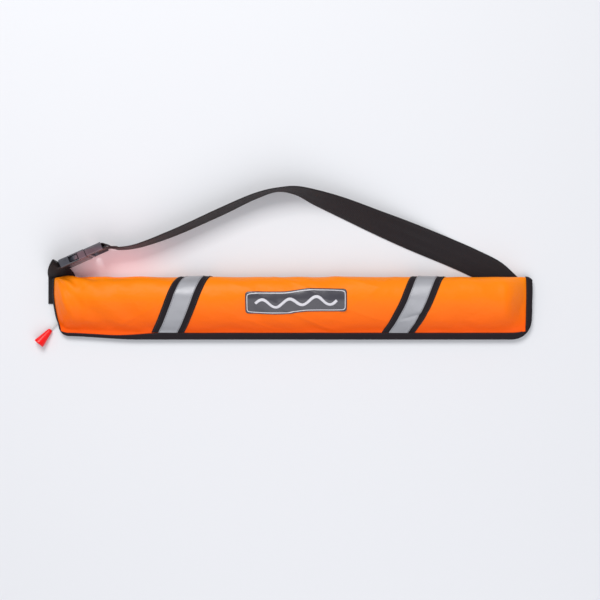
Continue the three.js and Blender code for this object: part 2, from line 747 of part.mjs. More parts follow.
const lever = new THREE.Group();
lever.position.set(pivotX, pivotY, 0);
lever.rotation.z = pullAngle - Math.PI / 2;
inflator.add(lever);
const leverPlate = block(-3.4, leverLength + 3, -leverWidth / 2, leverWidth / 2, -leverThickness / 2, leverThickness / 2);
const leverBore = alongZ(rod(pinRadius + gap, -5, 5));
const leverEye = alongZ(rod(1.5, -5, 5, 12)).translate(leverLength, 0, 0);
add("inflator_lever", cut(leverPlate, leverBore, leverEye), red, lever);
add("piercing_pin", alongX(rod(pinRadius, 2, neckStart - 1.8)), steel, inflator);

add(
  "stem_flange",
  alongZ(
    turned([
      [flangeTop - 2, 0],
      [flangeTop - 2, flangeRadius],
      [flangeTop, flangeRadius],
      [flangeTop, stemRadius],
      [bodyTop + 3.6, stemRadius],
      [bodyTop + 3.6, 0],
    ]),
  ).translate(stemX, stemY, 0),
  bladderCoat,
  inflator,
);
add(
  "stem_gasket",
  alongZ(ring(stemRadius + gap, stemRadius + 3, flangeTop + gap, flangeTop + gap + 0.6)).translate(stemX, stemY, 0),
  rubberBlack,
  inflator,
);
add(
  "cap_nut",
  alongZ(ring(stemRadius + 2 * gap, 6, bodyTop + gap, bodyTop + gap + 3, 12)).translate(stemX, stemY, 0),
  plastic,
  inflator,
);

// ---- lanyard and knob, lying out of the pouch's lower left corner ----

// Distances from the lever's eye along the pull, and heights, at the stops of the lanyard.
const eye = new THREE.Vector3(
  bodyLeft + pivotX + leverLength * Math.cos(pullAngle - Math.PI / 2),
  axisY + pivotY + leverLength * Math.sin(pullAngle - Math.PI / 2),
  axisLevel,
);
const reach = pouchDrop / 67.6; // a deeper pouch needs a longer lanyard
const lanyardStops = [
  [leverWidth / 2 + 1.8, axisLevel],
  [12 * reach, 16.4],
  [20 * reach, 9.2],
  [26.5 * reach, 5.5],
  [31 * reach, 4.8],
  [38 * reach, 4.8],
  [47 * reach, 4.3],
  [54 * reach, 3.4],
  [57 * reach, 3],
];
const onPull = (distance, z) =>
  new THREE.Vector3(eye.x + distance * Math.cos(pullAngle), eye.y + distance * Math.sin(pullAngle), z);
const lanyardLine = new THREE.CatmullRomCurve3(lanyardStops.map(([distance, z]) => onPull(distance, z)));
const lanyardSection = new THREE.Shape();
lanyardSection.absarc(0, 0, lanyardDiameter / 2, 0, 2 * Math.PI);
add(
  "pull_lanyard",
  closed(
    new THREE.ExtrudeGeometry(lanyardSection, { steps: 14, curveSegments: 4, extrudePath: lanyardLine }),
  ),
  whiteTape,
);

// The knob is a rounded cone that lies on its side, its narrow end on the lanyard.
const lean = Math.atan2((knobBase - knobTip) / 2, knobLength);
const knobEnd = onPull(57 * reach + gap, (knobTip / 2) * Math.cos(lean) + 0.05);
const knob = turned([
  [0, 0],
  [0, knobTip / 2 - 0.8],
  [0.8, knobTip / 2],
  [knobLength - 2, knobBase / 2 - 0.3],
  [knobLength - 0.6, knobBase / 2 - 0.9],
  [knobLength, knobBase / 2 - 2.2],
  [knobLength, 0],
]);
knob.rotateZ(-Math.PI / 2).rotateY(-lean).rotateZ(pullAngle).translate(knobEnd.x, knobEnd.y, knobEnd.z);
add("pull_knob", knob, red);

// ---- oral inflation tube, in the right half ----

const oral = new THREE.Group();
const oralLevel = backTop + underlay + 12;
oral.position.set(halfLength - 200, -12, oralLevel);
model.add(oral);
const tubeRadius = tubeDiameter / 2;
const boreRadius = tubeBore / 2;
const valveRadius = valveDiameter / 2;
const tubeStart = 2.4;
const tubeEnd = tubeStart + tubeLength;
const valveStart = tubeEnd + gap;
const valveEnd = valveStart + valveLength;
const springRadius = 3;
const chamberRadius = 4.4;
add(
  "oral_flange",
  alongX(turned([[0, 0], [0, 8], [2, 8], [2, boreRadius - gap], [10, boreRadius - gap], [10, 0]])),
  bladderCoat,
  oral,
);
add("oral_tube", alongX(ring(boreRadius, tubeRadius, tubeStart, tubeEnd)), rubberBlack, oral);
add(
  "valve_body",
  alongX(
    turned([
      [valveStart - 10, 1.9],
      [valveStart - 10, boreRadius - gap],
      [valveStart, boreRadius - gap],
      [valveStart, valveRadius],
      [valveEnd, valveRadius],
      [valveEnd, chamberRadius],
      [valveStart + 4, chamberRadius],
      [valveStart + 4, 1.9],
      [valveStart - 10, 1.9],
    ]),
  ),
  rubberBlack,
  oral,
);
add(
  "valve_poppet",
  alongX(
    turned([
      [valveStart - 4, 0],
      [valveStart - 4, 1.5],
      [valveEnd - 3, 1.5],
      [valveEnd - 3, chamberRadius - gap],
      [valveEnd - 1, chamberRadius - gap],
      [valveEnd - 1, 1.5],
      [valveEnd + 2, 1.5],
      [valveEnd + 2, 0],
    ]),
  ),
  red,
  oral,
);
class Coil extends THREE.Curve {
  getPoint(share, target = new THREE.Vector3()) {
    const angle = share * 2 * Math.PI * 4;
    const along = valveStart + 4.8 + share * (valveEnd - valveStart - 8.6);
    return target.set(along, springRadius * Math.cos(angle), springRadius * Math.sin(angle));
  }
}
const wireSection = new THREE.Shape();
wireSection.absarc(0, 0, 0.4, 0, 2 * Math.PI);
add(
  "valve_spring",
  closed(new THREE.ExtrudeGeometry(wireSection, { steps: 32, curveSegments: 3, extrudePath: new Coil() })),
  steel,
  oral,
);
add(
  "dust_cap",
  alongX(
    turned([
      [valveEnd - 8, valveRadius + gap],
      [valveEnd - 8, valveRadius + gap + capWall],
      [valveEnd + 5, valveRadius + gap + capWall],
      [valveEnd + 5, 0],
      [valveEnd + 5 - capWall, 0],
      [valveEnd + 5 - capWall, valveRadius + gap],
      [valveEnd - 8, valveRadius + gap],
    ].slice(0, 7)),
  ),
  red,
  oral,
);

// ---- bladder ----

// The folded bladder fills the cover from just inside it down to the back, with pockets for the
// cylinder, the inflator and the oral tube.
const bladderInset = 2.2;
const bladderAlong = alongStations(bodyLeft - 3, halfLength - 16, 30);
const bladderAcross = Array.from({ length: 11 }, (_, j) => 0.2 + 0.63 * (j / 10));
const bladderLevel = backTop + 0.5;
const folded = slab((i, j, w) => {
  const top = cover.point(bladderAlong[i], bladderAcross[j], -fabric / 2 - bladderInset);
  return w === 0 ? new THREE.Vector3(top.x, top.y, bladderLevel) : top;
}, bladderAlong.length - 1, bladderAcross.length - 1);
const pocketTop = crestLevel + 10;
const cylinderPocket = block(
  bodyLeft + bodyLength, bodyLeft + cylinderEnd + 2, axisY - cylinderRadius - 1, axisY + cylinderRadius + 1,
  axisLevel - cylinderRadius - 0.6, pocketTop,
);
const inflatorPocket = block(
  bodyLeft - 20, bodyLeft + bodyLength + 0.01, -pouchDrop, pouchRise, bladderLevel + 1, pocketTop,
);
const oralX = halfLength - 200;
const oralPocket = block(
  oralX - 1, oralX + valveEnd + 26, -12 - 9.4, -12 + 9.4, oralLevel - 9.4, pocketTop,
);
add("bladder", cut(folded, cylinderPocket, inflatorPocket, oralPocket), bladderCoat);

export default model;
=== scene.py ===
# %% [markdown]
# # A life jacket folded into its waist pouch
# The object is a belt with a long orange pouch. A flat bladder is folded inside it, with a gas cylinder
# and a lever that a red knob pulls. This lesson dresses a finished, jointed frame: every piece made here
# rides on one of the frame's bodies, and takes the place of the plain solid that the frame holds for it.
# %% Load the frame
import json
import math

import bmesh
import bpy
import numpy as np
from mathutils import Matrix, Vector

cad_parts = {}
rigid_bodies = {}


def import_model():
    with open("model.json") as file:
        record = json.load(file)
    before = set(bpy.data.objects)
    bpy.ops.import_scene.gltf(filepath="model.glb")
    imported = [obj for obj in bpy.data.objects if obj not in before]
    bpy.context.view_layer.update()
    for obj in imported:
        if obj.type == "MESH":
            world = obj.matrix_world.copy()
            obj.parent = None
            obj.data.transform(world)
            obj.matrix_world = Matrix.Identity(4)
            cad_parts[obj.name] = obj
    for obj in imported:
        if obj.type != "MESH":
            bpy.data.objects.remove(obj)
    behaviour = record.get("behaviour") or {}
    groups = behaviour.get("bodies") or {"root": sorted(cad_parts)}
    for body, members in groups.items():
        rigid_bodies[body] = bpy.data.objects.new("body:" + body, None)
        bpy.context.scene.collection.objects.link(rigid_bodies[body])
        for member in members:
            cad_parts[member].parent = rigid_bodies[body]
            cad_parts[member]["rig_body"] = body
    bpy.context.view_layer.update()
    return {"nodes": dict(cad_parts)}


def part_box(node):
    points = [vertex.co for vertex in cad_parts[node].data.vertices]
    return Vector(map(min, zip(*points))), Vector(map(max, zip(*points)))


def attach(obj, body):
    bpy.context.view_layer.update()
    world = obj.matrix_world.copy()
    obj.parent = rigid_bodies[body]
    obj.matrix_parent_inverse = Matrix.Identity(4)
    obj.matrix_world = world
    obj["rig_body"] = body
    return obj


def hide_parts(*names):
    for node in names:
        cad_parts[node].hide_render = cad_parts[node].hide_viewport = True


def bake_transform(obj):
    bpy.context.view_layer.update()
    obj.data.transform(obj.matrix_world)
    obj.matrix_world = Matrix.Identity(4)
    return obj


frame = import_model()
nodes = frame["nodes"]
print("pieces in the frame:", len(nodes))

# %% [markdown]
# ## Camera
# The camera looks straight down from 1.5 m. The lens is worked out from the width of table that it has to
# show, because a lens as wide as the sensor shows as much width as its distance.
# %% Camera
view_middle = (0.0110, -0.0115)
view_width = 0.854
view_height = 1.5
camera_data = bpy.data.cameras.new("view_camera")
camera_data.sensor_width = 36
camera_data.lens = camera_data.sensor_width * view_height / view_width
camera_data.clip_end = 20
camera = bpy.data.objects.new("view_camera", camera_data)
camera.location = (*view_middle, view_height)
bpy.context.scene.collection.objects.link(camera)
bpy.context.scene.camera = camera
print("lens", round(camera_data.lens, 1), "mm")

# %% [markdown]
# ## Tools for surfaces
# Every soft piece is a grid of points worked out with numpy. `catmull` is a smooth line through stops, the
# same kind of curve that the frame's solids follow, so that the dressed pieces lie where the solids lie.
# Lengths are in millimetres until a mesh is made.
# %% A smooth line through stops
def catmull(stops, steps):
    """A centripetal Catmull-Rom curve: each span is a cubic whose end slopes come from its neighbours,
    with knots spaced by the square root of the distance. Each span is sampled at `steps` even parameters."""
    stops = np.asarray(stops, float)
    padded = np.vstack([2 * stops[0] - stops[1], stops, 2 * stops[-1] - stops[-2]])
    knots = np.maximum(np.linalg.norm(np.diff(padded, axis=0), axis=1) ** 0.5, 1e-6)
    d0, d1, d2 = knots[:-2, None], knots[1:-1, None], knots[2:, None]
    p0, p1, p2, p3 = padded[:-3], padded[1:-2], padded[2:-1], padded[3:]
    slope1 = ((p1 - p0) / d0 - (p2 - p0) / (d0 + d1) + (p2 - p1) / d1) * d1
    slope2 = ((p2 - p1) / d1 - (p3 - p1) / (d1 + d2) + (p3 - p2) / d2) * d1
    u = (np.arange(steps) / steps)[None, :, None]
    c2 = (-3 * p1 + 3 * p2 - 2 * slope1 - slope2)[:, None]
    c3 = (2 * p1 - 2 * p2 + slope1 + slope2)[:, None]
    body = p1[:, None] + slope1[:, None] * u + c2 * u**2 + c3 * u**3
    return np.vstack([body.reshape(-1, stops.shape[1]), stops[-1:]])


def along_length(points):
    """Distance travelled along a row of points, starting from zero."""
    return np.r_[0, np.cumsum(np.linalg.norm(np.diff(points, axis=0), axis=1))]


def at_length(points, lengths):
    """The places on a row of points at the given distances along it."""
    travelled = along_length(points)
    return np.stack([np.interp(lengths, travelled, points[:, k]) for k in range(points.shape[1])], -1)


def unit(v):
    """Vectors divided by their own lengths."""
    return v / np.maximum(np.linalg.norm(v, axis=-1, keepdims=True), 1e-9)


def smooth_step(low, high, x):
    """0 below low, 1 above high, and an S-shaped rise between them."""
    t = np.clip((x - low) / (high - low), 0, 1)
    return t * t * (3 - 2 * t)


# %% [markdown]
# ## From grids to meshes
# A grid of points becomes quads. A grid that closes on itself, such as a strap's cross-section carried along
# its path, gets its two ends capped. The UV map holds real lengths, so a weave has the same size everywhere.
# %% Mesh helpers
def mesh_object(name, points, faces, uvs, material, smooth=True):
    """A mesh object from points in millimetres, faces, and one UV pair for each face corner in metres."""
    mesh = bpy.data.meshes.new(name)
    mesh.from_pydata((np.asarray(points) * 0.001).tolist(), [], faces)
    layer = mesh.uv_layers.new(name="UVMap")
    layer.data.foreach_set("uv", np.asarray(uvs, np.float32).ravel())
    mesh.materials.append(material)
    mesh.polygons.foreach_set("use_smooth", np.full(len(mesh.polygons), smooth))
    mesh.update()
    made = bpy.data.objects.new(name, mesh)
    bpy.context.scene.collection.objects.link(made)
    return made


def quads(rows, columns, wrap=False):
    """Corner indices of the quads between neighbouring rows and columns of a grid."""
    i, j = np.meshgrid(np.arange(rows - 1), np.arange(columns if wrap else columns - 1), indexing="ij")
    k = (j + 1) % columns
    return np.stack([i * columns + j, (i + 1) * columns + j, (i + 1) * columns + k, i * columns + k],
        -1).reshape(-1, 4)


def sheet_mesh(name, grid, uv, material, flip=False):
    """One layer of quads over a grid of points, grid[i, j], with uv[i, j] in metres."""
    rows, columns = grid.shape[:2]
    faces = quads(rows, columns)
    if flip:
        faces = faces[:, ::-1]
    return mesh_object(name, grid.reshape(-1, 3), faces.tolist(), uv.reshape(-1, 2)[faces.ravel()] * 0.001,
        material)


def carried(name, sections, around, along, material, smooth=True):
    """A closed body: sections[i] is a closed loop of points, carried along i and capped at both ends.
    `along` is the distance at each section, and `around` the distance round the loop, in millimetres."""
    rows, columns = sections.shape[:2]
    faces = quads(rows, columns, wrap=True)
    corner = quads(rows, columns + 1)
    u, v = np.meshgrid(along, around, indexing="ij")
    uv = np.stack([u, v], -1).reshape(-1, 2)[corner.ravel()] * 0.001
    centre = sections.mean(1)
    outward = np.cross(sections[:, 1] - sections[:, 0], centre[1] - centre[0])
    facing = np.einsum("ij,ij->i", outward, sections[:, 0] - centre)[0]
    first = list(range(columns))
    last = [(rows - 1) * columns + j for j in range(columns)][::-1]
    listed = faces.tolist()
    cap_uv = np.stack([np.zeros(columns), np.asarray(around)[:columns]], -1) * 0.001
    uv = np.vstack([uv, cap_uv, cap_uv[::-1]])
    made = mesh_object(name, sections.reshape(-1, 3), listed + [first, last], uv, material, smooth)
    outwards(made)
    return made


def outwards(made):
    """Turns every face of a closed body outwards."""
    work = bmesh.new()
    work.from_mesh(made.data)
    bmesh.ops.recalc_face_normals(work, faces=work.faces)
    work.to_mesh(made.data)
    work.free()


def dress(made, node, slot, *others):
    """The piece stands for these nodes and rides on the first one's body; `slot` is not used."""
    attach(made, nodes[node]["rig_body"])
    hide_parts(node, *others)
    return made


def slab_mesh(name, low, high, uv, material):
    """A closed slab between two grids of points of the same size, with its rim closed."""
    rows, columns = low.shape[:2]
    count = rows * columns
    ids = np.arange(count).reshape(rows, columns)
    rim = np.r_[ids[0], ids[1:, -1], ids[-1, -2::-1], ids[-2:0:-1, 0]]
    after = np.roll(rim, -1)
    faces = np.vstack([
        quads(rows, columns)[:, ::-1],
        quads(rows, columns) + count,
        np.stack([rim, after, after + count, rim + count], -1),
    ])
    flat = np.vstack([uv.reshape(-1, 2)] * 2)
    made = mesh_object(
        name, np.vstack([low.reshape(-1, 3), high.reshape(-1, 3)]), faces.tolist(),
        flat[faces.ravel()] * 0.001, material,
    )
    outwards(made)
    return made


print("helpers ready")

# %% [markdown]
# ## Shared patterns as node groups
# Cloth, webbing and plastic repeat the same few effects: an even weave, ribs across a strap, and a slow
# drift of tone that keeps a surface from looking flat. Each is a node group, made once and given its own
# numbers in every material. The groups put out heights and masks only; shaders stay in the materials.
# %% Node helpers
def place(tree, kind, links=None, **settings):
    """A node with some of its settings, and with values or links put into its named or numbered inputs."""
    made = tree.nodes.new(kind)
    for key, value in settings.items():
        setattr(made, key, value)
    for key, value in (links or {}).items():
        if isinstance(value, bpy.types.NodeSocket):
            tree.links.new(value, made.inputs[key])
        else:
            made.inputs[key].default_value = value
    return made


def calc(tree, operation, *values):
    """One Math node on one to three numbers or links, and its answer."""
    return place(tree, "ShaderNodeMath", dict(enumerate(values)), operation=operation).outputs[0]


def group(name, inputs, outputs):
    """An empty shader node group with named inputs (name, type, value) and float outputs."""
    tree = bpy.data.node_groups.new(name, "ShaderNodeTree")
    for label, kind, value in inputs:
        made = tree.interface.new_socket(label, in_out="INPUT", socket_type=kind)
        if value is not None:
            made.default_value = value
    for label in outputs:
        tree.interface.new_socket(label, in_out="OUTPUT", socket_type="NodeSocketFloat")
    return tree, tree.nodes.new("NodeGroupInput").outputs, tree.nodes.new("NodeGroupOutput").inputs


VECTOR, FLOAT = "NodeSocketVector", "NodeSocketFloat"

# %% Weave: threads over and under each other
weave, given, out = group("weave", [("Vector", VECTOR, None), ("Pitch", FLOAT, 0.0005)], ["Height"])
axes = place(weave, "ShaderNodeSeparateXYZ", {0: given["Vector"]}).outputs
waves = [calc(weave, "SINE", calc(weave, "DIVIDE", calc(weave, "MULTIPLY", axes[k], math.pi),
    given["Pitch"]))
         for k in (0, 1)]
crossing = calc(weave, "MULTIPLY", waves[0], waves[1])
weave.links.new(calc(weave, "MULTIPLY_ADD", crossing, 0.5, 0.5), out["Height"])

# %% Rib: raised threads across a strap, in chevrons where the lean is not zero
rib, given, out = group(
    "rib", [("Vector", VECTOR, None), ("Pitch", FLOAT, 0.0016), ("Lean", FLOAT, 0.0),
        ("Band", FLOAT, 0.006)], ["Height"],
)
axes = place(rib, "ShaderNodeSeparateXYZ", {0: given["Vector"]}).outputs
chevron = calc(rib, "PINGPONG", axes[1], given["Band"])
shifted = calc(rib, "ADD", axes[0], calc(rib, "MULTIPLY", chevron, given["Lean"]))
turns = calc(rib, "DIVIDE", calc(rib, "MULTIPLY", shifted, math.pi), given["Pitch"])
rib.links.new(calc(rib, "ABSOLUTE", calc(rib, "SINE", turns)), out["Height"])

# %% Drift: a broad and a fine noise for tone and roughness
drift, given, out = group("drift", [("Vector", VECTOR, None), ("Scale", FLOAT, 20.0)], ["Broad", "Fine"])
broad = place(drift, "ShaderNodeTexNoise", {"Vector": given["Vector"], "Scale": given["Scale"],
    "Detail": 3.0})
fine_scale = calc(drift, "MULTIPLY", given["Scale"], 22.0)
fine = place(drift, "ShaderNodeTexNoise", {"Vector": given["Vector"], "Scale": fine_scale, "Detail": 4.0})
drift.links.new(broad.outputs[0], out["Broad"])
drift.links.new(fine.outputs[0], out["Fine"])
print("groups:", [g.name for g in bpy.data.node_groups])


# %% [markdown]
# ## Materials
# `finish` builds the part that every material shares: a colour that drifts between two tones, a roughness
# that varies with it, and a bump from one or more heights. Colours are written as screen values and turned
# into the linear ones that Blender works in.
# %% A material with tone drift and bump
def linear(r, g, b):
    """Screen colour from 0 to 255 as linear light, by the sRGB curve."""
    c = np.array([r, g, b]) / 255
    low = c <= 0.04045
    return (*np.where(low, c / 12.92, ((c + 0.055) / 1.055) ** 2.4).tolist(), 1.0)


def mix_colour(tree, share, a, b):
    """A colour between a and b."""
    made = place(tree, "ShaderNodeMix", {0: share, 6: a, 7: b}, data_type="RGBA")
    return made.outputs[2]


def finish(name, dark, light, rough, heights=(), scale=20.0, uv=True, fade=None, **shader):
    """A Principled material. `heights` are (group, its values, bump distance in metres); `rough` is a pair.
    `fade` is two tones and two distances up the UV map: painted shade in the first tone low down, painted
    light in the second higher up."""
    made = bpy.data.materials.new(name)
    made.use_nodes = True
    tree = made.node_tree
    shade = next(n for n in tree.nodes if n.type == "BSDF_PRINCIPLED")
    coordinates = place(tree, "ShaderNodeTexCoord")
    where = coordinates.outputs["Object"]
    cloth = coordinates.outputs["UV"] if uv else where
    tone = place(tree, "ShaderNodeGroup", node_tree=drift)
    tree.links.new(where, tone.inputs["Vector"])
    tone.inputs["Scale"].default_value = scale
    colour = mix_colour(tree, tone.outputs["Broad"], linear(*dark), linear(*light))
    # painted light and shade: the colour is mixed towards a tone that runs from dark low on the UV map to
    # light higher up
    if fade:
        up = place(tree, "ShaderNodeSeparateXYZ", {0: coordinates.outputs["UV"]}).outputs[1]
        share = place(tree, "ShaderNodeMapRange", {0: up, 1: fade[2], 2: fade[3]}).outputs[0]
        painted_light_tone = mix_colour(tree, share, linear(*fade[0]), linear(*fade[1]))
        colour = mix_colour(tree, 0.62, colour, painted_light_tone)
    tree.links.new(colour, shade.inputs["Base Color"])
    spread = place(tree, "ShaderNodeMapRange", {0: tone.outputs["Broad"], 1: 0.3, 2: 0.7, 3: rough[0],
        4: rough[1]})
    tree.links.new(spread.outputs[0], shade.inputs["Roughness"])
    normal = None
    for pattern, values, distance in heights:
        if pattern == "fine":
            height = tone.outputs["Fine"]
        elif pattern == "crumple":
            ridged = place(tree, "ShaderNodeTexNoise", {"Vector": where, **values},
                noise_type="RIDGED_MULTIFRACTAL")
            height = ridged.outputs[0]
        elif pattern == "noise":
            height = place(tree, "ShaderNodeTexNoise", {"Vector": where, **values}).outputs[0]
        else:
            height = place(tree, "ShaderNodeGroup", node_tree=pattern)
            tree.links.new(cloth, height.inputs["Vector"])
            for key, value in values.items():
                height.inputs[key].default_value = value
            height = height.outputs["Height"]
        bump = place(tree, "ShaderNodeBump", {"Height": height, "Distance": distance, "Strength": 1.0})
        if normal is not None:
            tree.links.new(normal, bump.inputs["Normal"])
        normal = bump.outputs[0]
    if normal is not None:
        tree.links.new(normal, shade.inputs["Normal"])
    for key, value in shader.items():
        shade.inputs[key.replace("_", " ")].default_value = value
    return made


# %% [markdown]
# The orange cover is coated nylon: bright, with a soft gloss that shows every crease. Its weave is half a
# millimetre, and a slower noise gives the small crumples that a thin coated cloth always keeps.
# %% Cloth and tape
orange_nylon = finish(
    "orange_nylon", (255, 100, 0), (255, 118, 2), (0.4, 0.5),
    [(weave, {"Pitch": 0.0005}, 0.00003), ("noise", {"Scale": 55.0, "Detail": 3.0, "Roughness": 0.55},
        0.0015),
     ("crumple", {"Scale": 17.0, "Detail": 1.6, "Roughness": 0.4}, 0.0022)],
    # fade paints light and shade into the cover: darker red near the lip, lighter yellow-orange higher up,
    # as if lit from above
    scale=9.0, fade=((255, 78, 0), (255, 152, 8), 0.012, 0.1), Specular_IOR_Level=0.16,
)
black_nylon = finish(
    "black_nylon", (27, 24, 28), (38, 34, 39), (0.55, 0.7),
    [(weave, {"Pitch": 0.0006}, 0.00006), ("noise", {"Scale": 60.0, "Detail": 3.0}, 0.0008)],
    Sheen_Weight=0.15,
)
black_tape = finish(
    "black_tape", (21, 15, 20), (33, 25, 31), (0.75, 0.9),
    [(rib, {"Pitch": 0.0011}, 0.00012), ("fine", {}, 0.0002)], scale=30.0, Sheen_Weight=0.05,
    Specular_IOR_Level=0.25,
)
webbing_cloth = finish(
    "webbing", (20, 14, 18), (33, 25, 30), (0.65, 0.82),
    [(rib, {"Pitch": 0.0021, "Lean": 0.5, "Band": 0.0064}, 0.0007), ("fine", {}, 0.00012)], scale=26.0,
    Sheen_Weight=0.06, Specular_IOR_Level=0.4,
)
thread = finish("thread", (40, 34, 40), (62, 55, 62), (0.6, 0.75), [(rib, {"Pitch": 0.0006}, 0.00006)],
    Sheen_Weight=0.2)
closure_tape = finish(
    "closure_tape", (28, 27, 30), (44, 42, 46), (0.8, 0.95),
    [("noise", {"Scale": 1400.0, "Detail": 2.0}, 0.0006)], scale=40.0, Sheen_Weight=0.4,
)
lanyard_cord = finish(
    "lanyard_cord", (214, 212, 208), (236, 234, 230), (0.6, 0.75),
    [(rib, {"Pitch": 0.0011, "Lean": 0.9, "Band": 0.0031}, 0.00018)], scale=60.0, Sheen_Weight=0.3,
)
bladder_film = finish(
    "bladder_film", (232, 160, 22), (244, 182, 40), (0.42, 0.55),
    [("noise", {"Scale": 70.0, "Detail": 4.0}, 0.0012), (weave, {"Pitch": 0.0008}, 0.00004)], scale=12.0,
    Coat_Weight=0.2,
)
reflective_tape = finish(
    "reflective_tape", (150, 150, 155), (180, 181, 186), (0.34, 0.46),
    [(rib, {"Pitch": 0.0013}, 0.00012), ("noise", {"Scale": 70.0, "Detail": 2.0}, 0.0006)], scale=24.0,
    Metallic=0.2,
    Coat_Weight=0.25, Coat_Roughness=0.2,
)

# %% [markdown]
# ## Hard finishes
# Moulded plastic has a fine grain, and its roughness drifts at random. Steel is drawn out in one direction,
# but its noise here is not stretched. They have no UV map, so they read Object coordinates.
# %% Plastic, rubber and metal
buckle_plastic = finish(
    "buckle_plastic", (42, 42, 49), (66, 66, 76), (0.24, 0.36),
    [("noise", {"Scale": 1500.0, "Detail": 2.0}, 0.00006)], scale=60.0, uv=False, Specular_IOR_Level=0.75,
)
inflator_plastic = finish(
    "inflator_plastic", (28, 28, 32), (42, 42, 46), (0.4, 0.55),
    [("noise", {"Scale": 1200.0, "Detail": 2.0}, 0.00008)], scale=50.0, uv=False,
)
red_plastic = finish(
    "red_plastic", (238, 14, 13), (248, 22, 20), (0.28, 0.4),
    [("noise", {"Scale": 500.0, "Detail": 2.0}, 0.00005)], scale=60.0, uv=False, Specular_IOR_Level=0.35,
)
badge_rubber = finish(
    "badge_rubber", (54, 52, 60), (68, 66, 74), (0.26, 0.38),
    [("noise", {"Scale": 38.0, "Detail": 3.0}, 0.0011), ("noise", {"Scale": 1600.0}, 0.00005)],
    scale=20.0, uv=False, Coat_Weight=0.3, Coat_Roughness=0.15,
)
badge_print = finish(
    "badge_print", (206, 204, 210), (224, 222, 228), (0.3, 0.42),
    [("noise", {"Scale": 900.0}, 0.00005)], scale=30.0, uv=False,
)
seal_rubber = finish(
    "seal_rubber", (26, 26, 28), (38, 38, 40), (0.6, 0.8), [("noise", {"Scale": 900.0}, 0.0001)],
    scale=60.0, uv=False,
)
tube_rubber = finish(
    "tube_rubber", (26, 26, 28), (40, 39, 43), (0.45, 0.62),
    [("noise", {"Scale": 500.0, "Detail": 3.0}, 0.00015)], scale=50.0, uv=False,
)
cylinder_steel = finish(
    "cylinder_steel", (172, 176, 180), (198, 201, 204), (0.26, 0.42),
    [("noise", {"Scale": 260.0, "Detail": 4.0}, 0.00008)], scale=24.0, uv=False, Metallic=1.0,
)
pin_steel = finish(
    "pin_steel", (186, 186, 188), (206, 206, 208), (0.2, 0.32), [("noise", {"Scale": 700.0}, 0.00004)],
    scale=80.0, uv=False, Metallic=1.0,
)
print("materials:", len(bpy.data.materials))

# %% [markdown]
# ## The two cloth surfaces
# The cover is one line carried along the pouch. The line starts flat at the lip, climbs over the packed
# bladder and drops at the fold. At both ends the line sinks to its seam, and its lower corners are rounded.
# The back panel is made the same way from a nearly flat line that sags to the table at the lip.
# %% Sizes that the surfaces share
edge_x = 338.9
lip_y = -66.5
rise_y = 20.6
lip_level = 7.5
back_level = 1.6
binding_width = 9.0
cover_stops = [
    (-66.5, 7.5), (-56.5, 8.3), (-37.5, 25.48), (-8.7, 38.5), (12.0, 32.5), (20.1, 19.28), (19.0, 5.4),
]
back_stops = [(-66.5, 1.6), (-55.5, 1.6), (-35.0, 2.75), (-23.0, 3.9), (0.0, 3.9), (18.6, 3.9)]


def corner_rise(x, run, rise):
    """How far a corner has risen: a quarter of an ellipse over the last `run` before each end."""
    share = np.clip((np.abs(x) - (edge_x - run)) / run, 0, 1)
    return rise * (1 - np.sqrt(1 - 0.995 * share**2))


def low_edge(x):
    """The lip's y at x: straight, with a wide round corner at the right and a tighter one at the left."""
    x = np.asarray(x, float)
    return lip_y + np.where(x < 0, corner_rise(x, 17, 15), corner_rise(x, 29, 27))


def height_share(x):
    """Share of the full height: a cosine over 26 mm at the left, its square over 46 mm at the right."""
    run = np.where(x < 0, 26.0, 46.0)
    fall = np.cos(np.clip((np.abs(x) - (edge_x - run)) / run, 0, 1) * math.pi / 2)
    return np.maximum(np.where(x < 0, fall, fall * fall), 0.06)


def tucked(x, t):
    """The left end of the pouch is drawn in: its lower edge rises 5 mm towards the end, and its side slants
    inwards by 9 mm towards the lip. Both fade upwards with the square of the distance from the lip."""
    low = np.clip(1 - t / 0.62, 0, 1)
    aside = 8.0 * smooth_step(-290, -338.9, x) * low**1.2
    lifted = 5.0 * smooth_step(-215, -325, x) * low**1.6
    return aside, lifted


def surface_grid(stops, seam, ended, xs, ts):
    """Points at distances xs along the pouch and shares ts of the line: y follows the line between the two
    rounded edges, and z is the line's height above the seam times the share of height at that x."""
    line = catmull(stops, 60)
    line = at_length(line, np.asarray(ts) * along_length(line)[-1])
    low = low_edge(xs)
    high = rise_y - corner_rise(xs, 12, 5)
    y = low[:, None] + (line[None, :, 0] - lip_y) * ((high - low) / (rise_y - lip_y))[:, None]
    share = height_share(xs) if ended else np.ones_like(xs)
    z = seam + (line[None, :, 1] - seam) * share[:, None]
    aside, lifted = tucked(xs[:, None], np.asarray(ts)[None, :])
    return np.stack([xs[:, None] + aside, y + lifted, z], -1)


cover_length = along_length(catmull(cover_stops, 60))[-1]
back_length = along_length(catmull(back_stops, 60))[-1]
grid_x = np.r_[np.linspace(-edge_x, -300, 30)[:-1], np.linspace(-300, 290, 260)[:-1],
    np.linspace(290, edge_x, 30)]
grid_t = np.linspace(0, 1, 64)
print("across the cover:", round(cover_length, 1), "mm; grid", len(grid_x), "by", len(grid_t))

